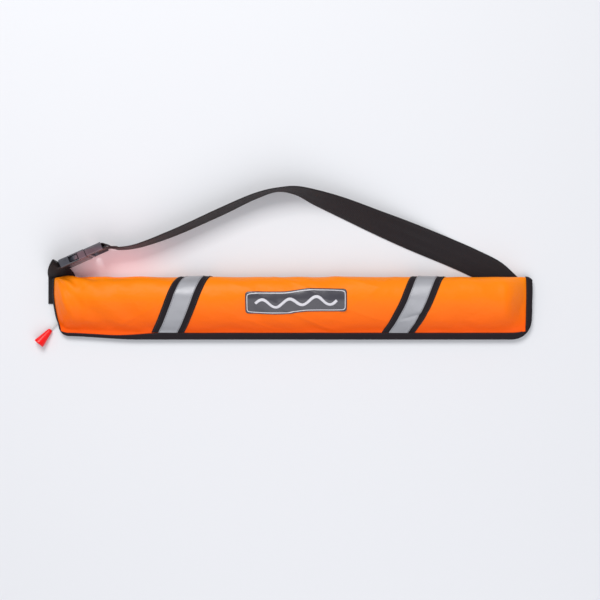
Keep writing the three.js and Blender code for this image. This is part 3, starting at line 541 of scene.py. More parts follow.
# %% [markdown]
# ## Creases in the cover
# A bag of thin cloth that was folded round a bundle keeps soft creases. A short cloth simulation finds them:
# the sheet is held along its seams and allowed to grow by about two hundredths, so that it has to buckle. It
# grows most at the left end, where the cylinder pushes the cloth up and the corner draws it in. The movement
# is capped, and the mesh only keeps the result.
# %% Waves for the broad folds
def fold_waves(x, t):
    """Lift in millimetres from crossing sine waves: long slanted folds over the whole pouch, and ridges that
    fan out from the upper left corner and fade within 90 mm of it."""
    u, v = x[:, None], t[None, :] * cover_length
    slanted = np.sin((u + 1.25 * v) / 13.5 + 1.6 * np.sin(u / 41)) * np.sin(u / 63 + v / 29 + 0.8)
    counter = np.sin((u - 0.9 * v) / 19.0 + 1.2 * np.sin(u / 57 + 2)) * np.sin(u / 88 - v / 35)
    crossing = 1 - np.abs(np.sin((u + 2.1 * v + 9 * np.sin(u / 37)) / 31))
    ridges = crossing**5 * np.clip(np.sin(u / 71 + 1.1) + 0.3, 0, 1)
    backward = (1 - np.abs(np.sin((u - 1.4 * v + 7 * np.sin(v / 15)) / 43))) ** 6
    backward = backward * np.clip(np.sin(u / 53 - 0.6), 0, 1)
    pinch = np.exp(-((v - 42 - 0.35 * (u - 172)) / 2.2) ** 2 - ((u - 172) / 20) ** 2)
    across, down = u + edge_x, 118 - v
    angle = np.arctan2(down, across + 12)
    away = np.hypot(across, down)
    fan = np.sin(angle * 21 + np.sin(away / 17)) * np.exp(-((away - 34) / 34) ** 2)
    dents = np.cos((u + 303 + 0.12 * v) / 4.6) * np.exp(-((u + 303) / 15) ** 2) * np.sin(np.pi * t)[None, :]
    left = 1 + 0.9 * np.exp(-(((u + 300) / 60) ** 2))
    soft = (0.75 * slanted + 0.6 * counter) * left
    return soft + 1.5 * fan + 1.3 * dents + 1.2 * ridges + 1.0 * backward - 1.3 * pinch


def away_from_seams(x, t):
    """0 at the bound edges and the fold's seam, 1 from 14 mm inside them."""
    sides = smooth_step(6, 20, edge_x - np.abs(x))[:, None]
    ends = smooth_step(0.055, 0.17, t) * (1 - smooth_step(0.86, 0.96, t))
    return sides * ends[None, :]


cover_grid = surface_grid(cover_stops, lip_level, True, grid_x, grid_t)
normals = unit(np.cross(np.gradient(cover_grid, axis=0), np.gradient(cover_grid, axis=1)))
free = away_from_seams(grid_x, grid_t)
cover_grid = cover_grid + normals * (fold_waves(grid_x, grid_t) * free)[..., None]
print("lift from", round(float((fold_waves(grid_x, grid_t) * free).min()), 2), "mm")


# %% Buckling by cloth simulation
def buckled(grid, held, growth, cap):
    """The grid after 20 frames of cloth simulation with no gravity. `held` is 1 where it is sewn, `growth`
    the share by which each point's cloth grows, and `cap` the furthest that a point may move, in mm."""
    faces = quads(*grid.shape[:2])
    trial = mesh_object("trial", grid.reshape(-1, 3), faces.tolist(), np.zeros((faces.size, 2)),
        orange_nylon)
    levels = {"sewn": held, "growing": growth / growth.max()}
    for label, values in levels.items():
        vertex_group = trial.vertex_groups.new(name=label)
        whole = np.round(values.ravel(), 2)
        for value in np.unique(whole[whole > 0]):
            vertex_group.add(np.flatnonzero(whole == value).tolist(), float(value), "REPLACE")
    cloth = trial.modifiers.new("Cloth", "CLOTH")
    made = cloth.settings
    made.quality = 6
    made.mass = 0.12
    made.tension_stiffness = made.compression_stiffness = 14
    made.shear_stiffness = 6
    made.bending_stiffness = 0.08
    made.air_damping = 2
    made.vertex_group_mass = "sewn"
    made.vertex_group_shrink = "growing"
    made.shrink_min = 0.0
    made.shrink_max = -float(growth.max())
    made.use_pressure = True
    made.uniform_pressure_force = 0.35
    made.effector_weights.gravity = 0
    cloth.collision_settings.use_collision = False
    scene = bpy.context.scene
    cloth.point_cache.frame_start, cloth.point_cache.frame_end = 1, 20
    for step in range(1, 21):
        scene.frame_set(step)
    settled = trial.evaluated_get(bpy.context.evaluated_depsgraph_get()).to_mesh()
    moved = np.zeros(len(settled.vertices) * 3, np.float32)
    settled.vertices.foreach_get("co", moved)
    moved = moved.reshape(grid.shape) * 1000 - grid
    scene.frame_set(1)
    bpy.data.objects.remove(trial)
    size = np.linalg.norm(moved, axis=-1, keepdims=True)
    print("moved up to", round(float(size.max()), 2), "mm before the cap of", cap)
    return grid + moved * (cap * np.tanh(size / cap) / np.maximum(size, 1e-9))


growth = 0.022 + 0.05 * np.exp(-((grid_x + 315) / 50) ** 2)[:, None] + 0.014 * np.sin(grid_x / 47)[:,
    None] ** 2
growth = growth * np.ones_like(free) * smooth_step(0, 0.4, free)
cover_grid = buckled(cover_grid, 1 - smooth_step(0.02, 0.3, free), growth, 3.2)
cover_normals = unit(np.cross(np.gradient(cover_grid, axis=0), np.gradient(cover_grid, axis=1)))


# %% [markdown]
# Everything sewn to the cover has to follow its creases. `on_cover` reads a place on the creased grid
# between its points and lifts it off along the surface's own direction.
# %% Places on the creased cover
def on_grid(grid, normal, x, t, lift):
    """Bilinear reading of a grid at (x, t), then a step of `lift` along the normal read the same way."""
    x, t, lift = np.broadcast_arrays(np.asarray(x, float), t, lift)
    i = np.clip(np.searchsorted(grid_x, x) - 1, 0, len(grid_x) - 2)
    j = np.clip(np.searchsorted(grid_t, t) - 1, 0, len(grid_t) - 2)
    a = np.clip((x - grid_x[i]) / (grid_x[i + 1] - grid_x[i]), 0, 1)[..., None]
    b = np.clip((t - grid_t[j]) / (grid_t[j + 1] - grid_t[j]), 0, 1)[..., None]

    def read(field):
        low = field[i, j] * (1 - a) + field[i + 1, j] * a
        high = field[i, j + 1] * (1 - a) + field[i + 1, j + 1] * a
        return low * (1 - b) + high * b

    return read(grid) + unit(read(normal)) * lift[..., None]


def on_cover(x, t, lift):
    """A place on the creased cover."""
    return on_grid(cover_grid, cover_normals, x, t, lift)


cloth_uv = np.stack(np.broadcast_arrays(grid_x[:, None], grid_t[None, :] * cover_length), -1)
cover = sheet_mesh("cover_cloth", cover_grid, cloth_uv, orange_nylon)
wall = cover.modifiers.new("thickness", "SOLIDIFY")
wall.thickness = 0.001
wall.offset = 0
dress(cover, "front_cover", "orange_nylon")

# %% [markdown]
# The back panel is black nylon with only slight waves, because it lies on the belt and on the table.
# %% Back panel
back_grid = surface_grid(back_stops, back_level, False, grid_x, grid_t)
back_normals = unit(np.cross(np.gradient(back_grid, axis=0), np.gradient(back_grid, axis=1)))
ripple = 0.25 * np.sin(grid_x / 23)[:, None] * np.sin(grid_t * 9 + grid_x[:,
    None] / 61) * away_from_seams(grid_x, grid_t)
back_grid = back_grid + back_normals * (np.abs(ripple))[..., None]
back_uv = np.stack(np.broadcast_arrays(grid_x[:, None], grid_t[None, :] * back_length), -1)
back = sheet_mesh("back_cloth", back_grid, back_uv, black_nylon)
wall = back.modifiers.new("thickness", "SOLIDIFY")
wall.thickness = 0.001
wall.offset = 0
dress(back, "back_panel", "black_nylon")


def on_back(x, t, lift):
    """A place on the back panel."""
    return on_grid(back_grid, back_normals, x, t, lift)


# %% [markdown]
# ## Binding
# A woven tape is folded round each raw edge and sewn through. Its cross-section is a rounded U of half a
# millimetre tape with two 9 mm legs, carried down the left side, along the lip and up the right side. Near
# the two corners the legs turn inwards on the diagonal, which is how a mitred corner lies.
# %% Bindings
LEG = np.array([
    (9.0, 1.55), (8.8, 1.68), (6.0, 1.72), (3.0, 1.70), (0.4, 1.62), (-0.7, 1.25), (-1.1, 0.5), (-1.1, -0.5),
    (-0.7, -1.25), (0.4, -1.62), (3.0, -1.70), (6.0, -1.72), (8.8, -1.68), (9.0, -1.55),
    (8.9, -1.1), (5.0, -1.12), (0.0, -1.1), (-0.6, -0.5), (-0.6, 0.5), (0.0, 1.1), (5.0, 1.12), (8.9, 1.1),
])


def bound_edge(name, place_on, length, top_share, node):
    """The U-shaped section LEG = (distance in from the edge, lift) at stations round three edges. To the
    left end the cloth bulges over the tape, so that less of its legs shows."""
    sides = np.linspace(0.5 / length, top_share, 26)
    inner = np.r_[
        np.linspace(-edge_x + 0.5, -edge_x + 18, 30)[:-1], np.linspace(-edge_x + 18, edge_x - 30, 192),
        np.linspace(edge_x - 30, edge_x - 0.5, 40)[1:],
    ]
    xs = np.r_[np.full(26, -edge_x), -edge_x, inner, edge_x, np.full(26, edge_x)]
    ts = np.r_[sides[::-1], 0, np.zeros(260), 0, sides]
    leaning_in = np.arctan2(np.abs(low_edge(inner + 0.3) - low_edge(inner - 0.3)), 0.6)
    into_x = np.r_[np.ones(27), -np.sign(inner) * np.sin(leaning_in), -np.ones(27)]
    into_t = np.r_[np.zeros(26), 0.12, np.cos(leaning_in), 0.12, np.zeros(26)]
    narrow = 1 - 0.56 * smooth_step(-180, -262, xs)
    deep = np.maximum(LEG[:, 0], 0)[None, :] * narrow[:, None]
    on = place_on(xs[:, None] + deep * into_x[:, None], ts[:, None] + deep * into_t[:, None] / length,
        LEG[None, :, 1])
    inward = unit(place_on(xs + 2 * into_x, ts + 2 * into_t / length, 0.0) - place_on(xs, ts, 0.0))
    on = on + inward[:, None] * np.minimum(LEG[:, 0], 0)[None, :, None]
    around = along_length(np.vstack([LEG, LEG[:1]]))
    made = carried(name, on, around, along_length(place_on(xs, ts, 0.0)), black_tape)
    print(name, "is", round(float(along_length(place_on(xs, ts, 0.0))[-1])), "mm long")
    return dress(made, node, "black_tape")


cover_edge = bound_edge("cover_edge_tape", on_cover, cover_length, 0.95, "cover_binding")
back_edge = bound_edge("back_edge_tape", on_back, back_length, 0.9, "back_binding")


# %% [markdown]
# ## Stitches
# A lockstitch shows as a row of short threads that dip into the cloth at both ends. Each one is a small bent
# tube of eight sections, worked out for the whole row at once.
# %% A row of stitches
def stitch_row(name, points, up, body, pitch=3.0, size=0.45):
    """Threads along a row of points. Each covers 0.78 of the pitch; its middle line is a flattened arch that
    starts and ends 0.25 mm under the cloth, and its section is a hexagon."""
    total = along_length(points)[-1]
    count = int(total // pitch)
    s = np.linspace(0, 1, 7)
    at = (np.arange(count)[:, None] + 0.11 + 0.78 * s[None, :]) * pitch
    middle = at_length(points, at.ravel()).reshape(count, 7, 3)
    share = at / total * (len(points) - 1)
    low = np.clip(share.astype(int), 0, len(points) - 2)
    raised = unit(up[low] * (1 - (share - low))[..., None] + up[low + 1] * (share - low)[..., None])
    middle = middle + raised * (0.42 * np.sin(np.pi * s) ** 0.5 - 0.25)[None, :, None]
    ahead = unit(np.gradient(middle, axis=1))
    side = unit(np.cross(ahead, raised))
    turn = np.arange(6) * math.pi / 3
    radius = size / 2 * (0.5 + 0.5 * np.sin(np.pi * s) ** 0.4)
    ring = side[:, :, None] * np.cos(turn)[None, None, :, None] + np.cross(side, ahead)[:, :,
        None] * np.sin(turn)[None, None, :, None]
    tube = middle[:, :, None] + ring * radius[None, :, None, None]
    faces = quads(7, 6, wrap=True)
    ends = [list(range(6)), list(range(36, 42))[::-1]]
    every = (faces[None] + 42 * np.arange(count)[:, None, None]).reshape(-1, 4).tolist()
    every += [[v + 42 * k for v in end] for k in range(count) for end in ends]
    corners = sum(len(f) for f in every)
    made = mesh_object(name, tube.reshape(-1, 3), every, np.zeros((corners, 2)), thread)
    outwards(made)
    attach(made, body)
    return made


def surface_row(place_on, x, t, lift):
    """Points lifted off a surface, and the surface's direction at each."""
    low, high = place_on(x, t, lift), place_on(x, t, lift + 1.0)
    return low, unit(high - low)


lip = np.linspace(-edge_x + 11, edge_x - 11, 500)
seam_in = 7.4 * (1 - 0.56 * smooth_step(-180, -262, lip))
row, lift_row = surface_row(on_cover, lip, seam_in / cover_length, 1.72)
stitch_row("cover_edge_stitches", row, lift_row, "cover")
row, lift_row = surface_row(on_back, lip, seam_in / back_length, -1.72)
stitch_row("back_edge_stitches", row, lift_row, "pack")
for label, side in (("left", -1), ("right", 1)):
    up_share = np.linspace(11 / cover_length, 0.93, 160)
    inset = 7.4 if side > 0 else 3.26
    row, lift_row = surface_row(on_cover, np.full(160, side * (edge_x - inset)), up_share, 1.72)
    stitch_row(f"cover_{label}_stitches", row, lift_row, "cover")

# %% [markdown]
# ## Reflective bands
# Two slanted bands cross the cover. Each is a wide black tape with a narrower silver one on it. They are
# closed slabs whose points are read off the creased cover, so that they bend and shine with it.
# %% Bands
band_t = np.linspace((binding_width + 0.3) / cover_length, 0.952, 90)


def band(label, foot, lean):
    """Strips whose middle starts at `foot` beside the lip and moves `lean` along for each mm of arc."""
    middle = foot + lean * (band_t - band_t[0]) * cover_length
    slant = math.hypot(1, lean)
    for part, width, low, thick, slot, material in (
        ("backing", 43, 0.8, 0.6, "black_tape", black_tape),
        ("silver", 25, 1.7, 0.35, "reflective_tape", reflective_tape),
    ):
        across = np.linspace(-0.5, 0.5, 17) * width * slant
        x = middle[:, None] + across[None, :]
        edge = 1 - 0.25 * (np.abs(across) > 0.49 * width * slant)
        under = on_cover(x, band_t[:, None], low)
        over = on_cover(x, band_t[:, None], low + thick * edge[None, :])
        uv = np.stack(np.broadcast_arrays(across[None, :] / slant, band_t[:, None] * cover_length * slant),
            -1)
        made = slab_mesh(f"band_{label}_{part}_tape", under, over, uv, material)
        dress(made, f"band_{label}_{part}", slot)
    for side in (-1, 1):
        for part, inset in (("outer", 19.6), ("inner", 11.2)):
            row, raised = surface_row(on_cover, middle + side * inset * slant, band_t,
                1.42 if part == "outer" else 2.05)
            stitch_row(f"band_{label}_{part}_{'left' if side < 0 else 'right'}_stitches", row, raised,
                "cover")


band("left", -176, 0.4)
band("right", 150, 0.42)

# %% [markdown]
# ## Badge
# The moulded badge has rounded corners, so the half-length shrinks near its upper and lower edges by the
# height of a quarter circle. It was sewn on in two pulls and rises a little to the right of its middle.
# %% Badge and its raised wave
badge_middle, badge_long, badge_high, badge_low = 5.5, 141.0, 32.0, 0.385


def badge_rise(x):
    """How far up the cover the badge sits at x: level at the left, 5 mm higher past the middle."""
    return 4.2 * smooth_step(-14, 24, x) - 1.4


def badge_half(v, inset=0.0, radius=4.5):
    """Half-length of a rounded rectangle at the height v from its middle."""
    over = np.clip(np.abs(v) - (badge_high / 2 - inset - radius), 0, radius)
    return badge_long / 2 - inset - radius + np.sqrt(np.maximum(radius**2 - over**2, 0))


def on_badge(u, v, lift):
    """A place u along and v up from the badge's middle, lifted off the cover."""
    x = badge_middle + u
    return on_cover(x, badge_low + (badge_high / 2 + v + badge_rise(x)) / cover_length, lift)


rows_v = badge_high / 2 * np.sin(np.linspace(-1, 1, 33) * math.pi / 2)
share_u = np.linspace(-1, 1, 120)
u = share_u[:, None] * badge_half(rows_v)[None, :]
v = np.broadcast_to(rows_v[None, :], u.shape)
inside = np.minimum(badge_half(rows_v)[None, :] - np.abs(u), badge_high / 2 - np.abs(v))
top = 1.3 + 0.5 * smooth_step(-0.2, 1.2, inside)
badge = slab_mesh("badge_plate", on_badge(u, v, 0.95), on_badge(u, v, top), np.stack([u, v], -1),
    badge_rubber)
dress(badge, "badge", "badge_rubber")


def ribbon(u, v, across_u, across_v, half, low, high):
    """Section corners of a raised ribbon with sloping sides, along a path (u, v) on the badge."""
    spread = np.array([-1.0, -0.72, -0.3, 0.3, 0.72, 1.0, 0.7, -0.7])
    heights = np.array([0.1, 0.85, 1.0, 1.0, 0.85, 0.1, -0.4, -0.4])
    lift = low + (high - low) * heights
    return on_badge(
        u[:, None] + across_u[:, None] * spread * half, v[:, None] + across_v[:, None] * spread * half,
        np.broadcast_to(lift, (len(u), 8)),
    )


path_u = np.linspace(-56.5, 56.5, 220)
path_v = 5.2 * np.sin((path_u + 56.5) / 113 * 6 * math.pi)
slope = np.gradient(path_v, path_u)
length = np.hypot(1, slope)
wave = carried(
    "badge_wave_print", ribbon(path_u, path_v, -slope / length, 1 / length, 2.0, 1.8, 2.35), np.arange(9.0),
    along_length(np.stack([path_u, path_v], -1)), badge_print,
)
dress(wave, "badge_wave", "badge_print")
turn = np.linspace(0, 2 * math.pi, 241)[:-1]
power = 0.16
rim_u = (badge_long / 2 - 2.4) * np.sign(np.cos(turn)) * np.abs(np.cos(turn)) ** power
rim_v = (badge_high / 2 - 2.4) * np.sign(np.sin(turn)) * np.abs(np.sin(turn)) ** power
rim = at_length(np.stack([np.r_[rim_u, rim_u[:1]], np.r_[rim_v, rim_v[:1]]], -1), np.linspace(0, 337, 400))
ahead = unit(np.gradient(rim, axis=0))
border = carried(
    "badge_border_print", ribbon(rim[:, 0], rim[:, 1], -ahead[:, 1], ahead[:, 0], 0.6, 1.75, 2.1),
    np.arange(9.0),
    along_length(rim), badge_print,
)
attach(border, "cover")
print("badge", badge_long, "by", badge_high, "mm")

# %% [markdown]
# ## Closure tapes
# Hook tape under the cover's lip faces loop tape on the back's lip. Both are thin slabs read off the
# surfaces, and their fuzz is a fine bump.
# %% Hook and loop tapes
tape_x = np.linspace(-290, 300, 240)
for label, place_on, length, sign, slot_node in (
    ("hook", on_cover, cover_length, -1, "hook_tape"), ("loop", on_back, back_length, 1, "loop_tape"),
):
    tape_t = np.linspace(1.0, 9.4, 8) / length
    low = place_on(tape_x[:, None], tape_t[None, :], sign * 1.95)
    high = place_on(tape_x[:, None], tape_t[None, :], sign * 2.75)
    uv = np.stack(np.broadcast_arrays(tape_x[:, None], tape_t[None, :] * length), -1)
    made = slab_mesh(f"{label}_strip", low, high, uv, closure_tape)
    dress(made, slot_node, "closure_tape")

# %% [markdown]
# ## Belt webbing
# A strap is a rounded rectangle carried along a path. Each stop of the path gives the strap's centre and
# the direction across it, so one function makes it lie flat, stand on edge, twist and wrap round a bar.
# Where it dips, it is lifted to lie on the table.
# %% Straps
def strap_section(width, thickness):
    """(across, lift) round a strap's section, flat on both faces, with rounded edges."""
    half, r = width / 2, thickness / 2
    flat = np.linspace(-1, 1, 13) * (half - r)
    bend = np.linspace(90, -90, 5)[1:-1] * math.pi / 180
    right = np.stack([half - r + r * np.cos(bend), r * np.sin(bend)], -1)
    top = np.stack([flat, np.full(13, r)], -1)
    return np.vstack([top, right, -top, -right])


def strap_path(stops, steps):
    """Centres and across vectors between the stops, each a smooth curve through its own stops."""
    return catmull([s[0] for s in stops], steps), unit(catmull([s[1] for s in stops], steps))


def strap_body(name, centres, acrosses, width, thickness, material):
    """The strap's section carried along centres; its normal is square to both the path and the across."""
    tangent = unit(np.gradient(centres, axis=0))
    normal = unit(np.cross(tangent, acrosses))
    lowest = centres[:, 2] - (np.abs(acrosses[:, 2]) * width + np.abs(normal[:, 2]) * thickness) / 2
    centres = centres + np.stack([0 * lowest, 0 * lowest, np.maximum(0.1 - lowest, 0)], -1)
    section = strap_section(width, thickness)
    points = centres[:, None] + acrosses[:, None] * section[None, :, :1] + normal[:, None] * section[None,
        :, 1:]
    around = along_length(np.vstack([section, section[:1]]))
    travelled = along_length(centres)
    print(name, "is", round(float(travelled[-1])), "mm long")
    return carried(name, points, around, travelled, material), centres, acrosses, normal


buckle_at = np.array([-320.5, 38.0, 0.0])
buckle_turn = math.radians(24)
buckle_middle = 24.0
bar_turn = math.hypot(3, 3) / 2 + 0.3 + 0.7
belt_level = 2.4


def in_buckle(along, off, z):
    """A place in the buckle's own frame: along it, through its thickness, and up."""
    c, s = math.cos(buckle_turn), math.sin(buckle_turn)
    return buckle_at + (along * c - off * s, along * s + off * c, z)


def flat_across(degrees):
    """A level direction."""
    return (math.cos(math.radians(degrees)), math.sin(math.radians(degrees)), 0.0)


# %% The belt's long run
strap_width, strap_thick = 38, 1.4
run = np.array([
    (-246, 60.8, 88), (-222, 63.4, 87), (-171, 81, 82), (-103, 111.3, 80), (-51.3, 134.7, 84),
    (-22, 143.2, 88),
    (4, 142.6, 78), (34.2, 132.4, 61), (68.4, 119.6, 48), (119.6, 98.3, 33), (171, 77.6, 14), (222, 57, 0),
    (256, 42, 0), (288, 25.5, 0),
])
before, after = np.r_[0, 0:13], np.r_[1:14, 13]
direction = unit(run[after, :2] - run[before, :2])
tilt = np.radians(run[:, 2])
across = np.stack([-direction[:, 1] * np.cos(tilt), direction[:, 0] * np.cos(tilt), np.sin(tilt)], -1)
rest = strap_width / 2 * np.sin(tilt) + strap_thick / 2 * np.cos(tilt) + np.where(tilt > 0, 0.4, 0.1)
free_run = [((x, y, z), a) for (x, y, _), z, a in zip(run, rest, across)]
upward = (0.0, 0.0, 1.0)
half_turn = bar_turn * math.sqrt(0.5)
belt_stops = [
    ((-243, 62.5, buckle_middle - 1), upward),
    ((-254, 63.2, buckle_middle), upward),
    (in_buckle(64.5, bar_turn, buckle_middle), upward),
    (in_buckle(60, bar_turn, buckle_middle), upward),
    (in_buckle(52, bar_turn, buckle_middle), upward),
    (in_buckle(52 - half_turn, half_turn, buckle_middle), upward),
    (in_buckle(52 - bar_turn, 0, buckle_middle), upward),
    (in_buckle(52 - half_turn, -half_turn, buckle_middle), upward),
    (in_buckle(52, -bar_turn, buckle_middle), upward),
    (in_buckle(60, -bar_turn, buckle_middle), upward),
    (in_buckle(66, -bar_turn - 0.3, buckle_middle - 0.2), upward),
    *free_run,
    ((316, 2.4, 0.8), flat_across(72)),
    ((320, 0.8, 0.8), flat_across(75)),
    ((321, 0.4, (0.7 + belt_level) / 2), flat_across(76)),
    ((320, 0, belt_level), flat_across(77)),
    ((312, 0, belt_level), flat_across(84)),
    ((280, 0, belt_level), flat_across(90)),
    ((0, 0, belt_level), flat_across(90)),
    ((-328, 0, belt_level), flat_across(90)),
]
belt, *_ = strap_body(
    "belt_webbing_strap", *strap_path(belt_stops, 14), strap_width, strap_thick, webbing_cloth,
)
dress(belt, "belt_webbing", "webbing")

# %% The short end and its turn on to the socket
def leaning(degrees, swing):
    """The across direction as the strap turns from flat to standing: right edge goes down."""
    return (math.cos(math.radians(degrees)), swing, -math.sin(math.radians(degrees)))


short_x = -328.0
turning = []
for k in range(5):
    share = k / 5
    stand = 80 * share
    rise = buckle_middle * math.sin(math.radians(stand))
    turning.append(((short_x + 5 * share, 20.1 + 24 * share, 0.8 + rise), leaning(stand, -0.38 * share)))
downward = (0.0, 0.0, -1.0)
short_stops = [
    ((short_x, -17, 0.8), leaning(0, 0)),
    ((short_x, 8.6, 0.8), leaning(0, 0)),
    ((short_x, 14.6, 0.8), leaning(0, 0)),
    *turning,
    (in_buckle(-4, bar_turn + 0.6, buckle_middle), downward),
    (in_buckle(2, bar_turn, buckle_middle), downward),
    (in_buckle(2 + half_turn, half_turn, buckle_middle), downward),
    (in_buckle(2 + bar_turn, 0, buckle_middle), downward),
    (in_buckle(2 + half_turn, -half_turn, buckle_middle), downward),
    (in_buckle(2, -bar_turn, buckle_middle), downward),
    (in_buckle(-8, -bar_turn, buckle_middle), downward),
]
short_end, *_ = strap_body(
    "belt_short_strap", *strap_path(short_stops, 12), strap_width, strap_thick, webbing_cloth,
)
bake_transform(short_end)
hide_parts("belt_short_end")

# %% [markdown]
# ## Belt loops
# Each loop is a strap that passes under the belt and is turned up beside it, with rounded turns.
# %% Belt loops
for label, x in (("left", -215.0), ("middle", 0.0), ("right", 215.0)):
    line = catmull([
        (-25.4, 2.1), (-22.2, 1.9), (-20.4, 1.0), (-18.6, 0.62), (-9, 0.6), (9, 0.6), (18.2, 0.62),
        (19.9, 1.0),
        (20.4, 2.0), (20.4, 3.0),
    ], 6)
    centres = np.stack([np.full(len(line), x), line[:, 0], line[:, 1]], -1)
    crosswise = np.broadcast_to([1.0, 0, 0], centres.shape)
    section = strap_section(40, 1.1)
    tangent = unit(np.gradient(centres, axis=0))
    normal = unit(np.cross(tangent, crosswise))
    points = centres[:, None] + crosswise[:, None] * section[None, :, :1] + normal[:, None] * section[None,
        :, 1:]
    around = along_length(np.vstack([section, section[:1]]))
    made = carried(f"belt_loop_{label}_strap", points, around, along_length(centres), webbing_cloth)
    dress(made, f"belt_loop_{label}", "webbing")

# %% [markdown]
# ## Moulded and turned pieces
# The buckle, the inflator and the mouth tube have the right shape in the frame already, but their edges are
# sharp. A copy is merged into a clean solid, its flat faces joined, and a small bevel rounds the edges so
# that they catch the light.
# %% Rounded copies of the hard pieces
def rounded(name, node, radius, material, slot, segments=2):
    """A merged copy of a frame node with beveled edges, which stands for the node."""
    made = bpy.data.objects.new(name, nodes[node].data.copy())
    bpy.context.scene.collection.objects.link(made)
    work = bmesh.new()
    work.from_mesh(made.data)
    bmesh.ops.remove_doubles(work, verts=work.verts, dist=2e-6)
    bmesh.ops.dissolve_limit(work, angle_limit=math.radians(1), verts=work.verts, edges=work.edges)
    work.to_mesh(made.data)
    work.free()
    made.data.materials.clear()
    made.data.materials.append(material)
    bevel = made.modifiers.new("rounding", "BEVEL")
    bevel.width = radius * 0.001
    bevel.segments = segments
    bevel.limit_method = "ANGLE"
    bevel.angle_limit = math.radians(34)
    bevel.harden_normals = True
    made.data.polygons.foreach_set("use_smooth", np.full(len(made.data.polygons), True))
    made.data.set_sharp_from_angle(angle=math.radians(34))
    return dress(made, node, slot)


for name, node, edge, material, slot in (
    ("buckle_socket_shell", "buckle_socket", 0.55, buckle_plastic, "buckle_plastic"),
    ("buckle_tongue_shell", "buckle_tongue", 0.55, buckle_plastic, "buckle_plastic"),
    ("prong_upper_arm", "prong_upper", 0.35, buckle_plastic, "buckle_plastic"),
    ("prong_lower_arm", "prong_lower", 0.35, buckle_plastic, "buckle_plastic"),
    ("inflator_housing", "inflator_body", 0.6, inflator_plastic, "inflator_plastic"),
    ("inflator_lever_arm", "inflator_lever", 0.4, red_plastic, "red_plastic"),
    ("stem_disc", "stem_flange", 0.4, bladder_film, "bladder_film"),
    ("cap_nut_ring", "cap_nut", 0.3, inflator_plastic, "inflator_plastic"),
    ("oral_disc", "oral_flange", 0.4, bladder_film, "bladder_film"),
    ("mouth_valve", "valve_body", 0.4, tube_rubber, "tube_rubber"),
    ("valve_button", "valve_poppet", 0.3, red_plastic, "red_plastic"),
    ("valve_cap", "dust_cap", 0.5, tube_rubber, "tube_rubber"),
):
    rounded(name, node, edge, material, slot)
for node, material, slot in (
    ("lever_pin", pin_steel, "pin_steel"), ("piercing_pin", pin_steel, "pin_steel"),
    ("valve_spring", pin_steel, "pin_steel"),
    ("stem_gasket", seal_rubber, "seal_rubber"), ("cylinder_seal", seal_rubber, "seal_rubber"),
):
    nodes[node].data.materials.clear()
    nodes[node].data.materials.append(material)
print("hard pieces done")


# %% [markdown]
# ## Gas cylinder
# A turned steel bottle: a profile of (distance along, radius) spun round its axis, with a drawn shoulder, a
# narrow neck and a domed end. The thread is a ripple in the neck's radius along its length.
# %% Spun pieces
def spun(name, profile, start, axis, sides, material, waves=None):
    """A profile of (along, radius) spun round an axis from `start`; `waves` adds to the radius by angle."""
    profile = np.asarray(profile, float)
    axis = unit(np.asarray(axis, float))
    side = unit(np.cross(axis, [0.3, 0.2, 1.0]))
    other = np.cross(axis, side)
    turn = np.arange(sides) * 2 * math.pi / sides
    radius = profile[:, 1:2] + (waves(profile[:, :1], turn[None, :]) if waves else 0)
    ring = np.cos(turn)[None, :, None] * side + np.sin(turn)[None, :, None] * other
    points = np.asarray(start, float) + profile[:, :1, None] * axis + radius[..., None] * ring
    around = np.arange(sides + 1) * 2 * math.pi / sides * profile[:, 1].max()
    return carried(name, points, around, along_length(profile), material)


low, high = (np.array(c) * 1000 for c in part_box("gas_cylinder"))
long = high[0] - low[0]
radius = (high[2] - low[2]) / 2
neck_end, shoulder_end = 10.0, 24.0
t = np.linspace(0, 1, 14)
bottle = np.vstack([
    [(0.0, 2.4), (0.1, 4.3)],
    np.stack([np.linspace(0.4, neck_end, 40), 4.4 + 0.12 * np.sin(np.linspace(0, 14 * math.pi, 40))], -1),
    np.stack([neck_end + (shoulder_end - neck_end) * t, 4.5 + (radius - 4.5) * smooth_step(0, 1, t)],
        -1)[1:],
    [(long * 0.5, radius), (long - 9, radius)],
    np.stack([long - 9 + 9 * np.sin(t * math.pi / 2), 2 + (radius - 2) * np.cos(t * math.pi / 2)], -1)[1:],
])
bottle_body = spun("gas_bottle", bottle, (low[0], -4, 22.5), (1, 0, 0), 48, cylinder_steel)
dress(bottle_body, "gas_cylinder", "cylinder_steel")
tube_low, tube_high = (np.array(c) * 1000 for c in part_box("oral_tube"))
tube_middle = (tube_low + tube_high) / 2
outside = np.stack([np.linspace(0, tube_high[0] - tube_low[0], 60), np.full(60, 5.0)], -1)
outside[:, 1] -= 0.12 * (np.arange(60) % 4 == 0)
wall_in = outside[::-1] * [1, 0] + [0, 3.2]
oral = spun("mouth_tube", np.vstack([outside, wall_in]), (tube_low[0], *tube_middle[1:]), (1, 0, 0), 40,
    tube_rubber)
dress(oral, "oral_tube", "tube_rubber")
print("cylinder", round(long, 1), "by", round(2 * radius, 1), "mm")

# %% [markdown]
# ## Lanyard and knob
# The lanyard is a 2 mm braided cord from the lever's eye out of the pouch's lower left corner. It lies in
# the same curve as the frame's solid. The knob is a turned cone of glossy plastic that lies on its side.
# %% Lanyard
pull_turn = math.atan2(-0.772, -0.634)
eye = np.array([-294.3 + 16 * math.cos(pull_turn - math.pi / 2),
    -19.6 + 16 * math.sin(pull_turn - math.pi / 2), 22.5])
pull = np.array([math.cos(pull_turn), math.sin(pull_turn), 0.0])


def on_pull(distance, level):
    """A place at a distance from the eye along the pull, at a height above the table."""
    return np.array([eye[0], eye[1], 0]) + pull * distance + [0, 0, level]


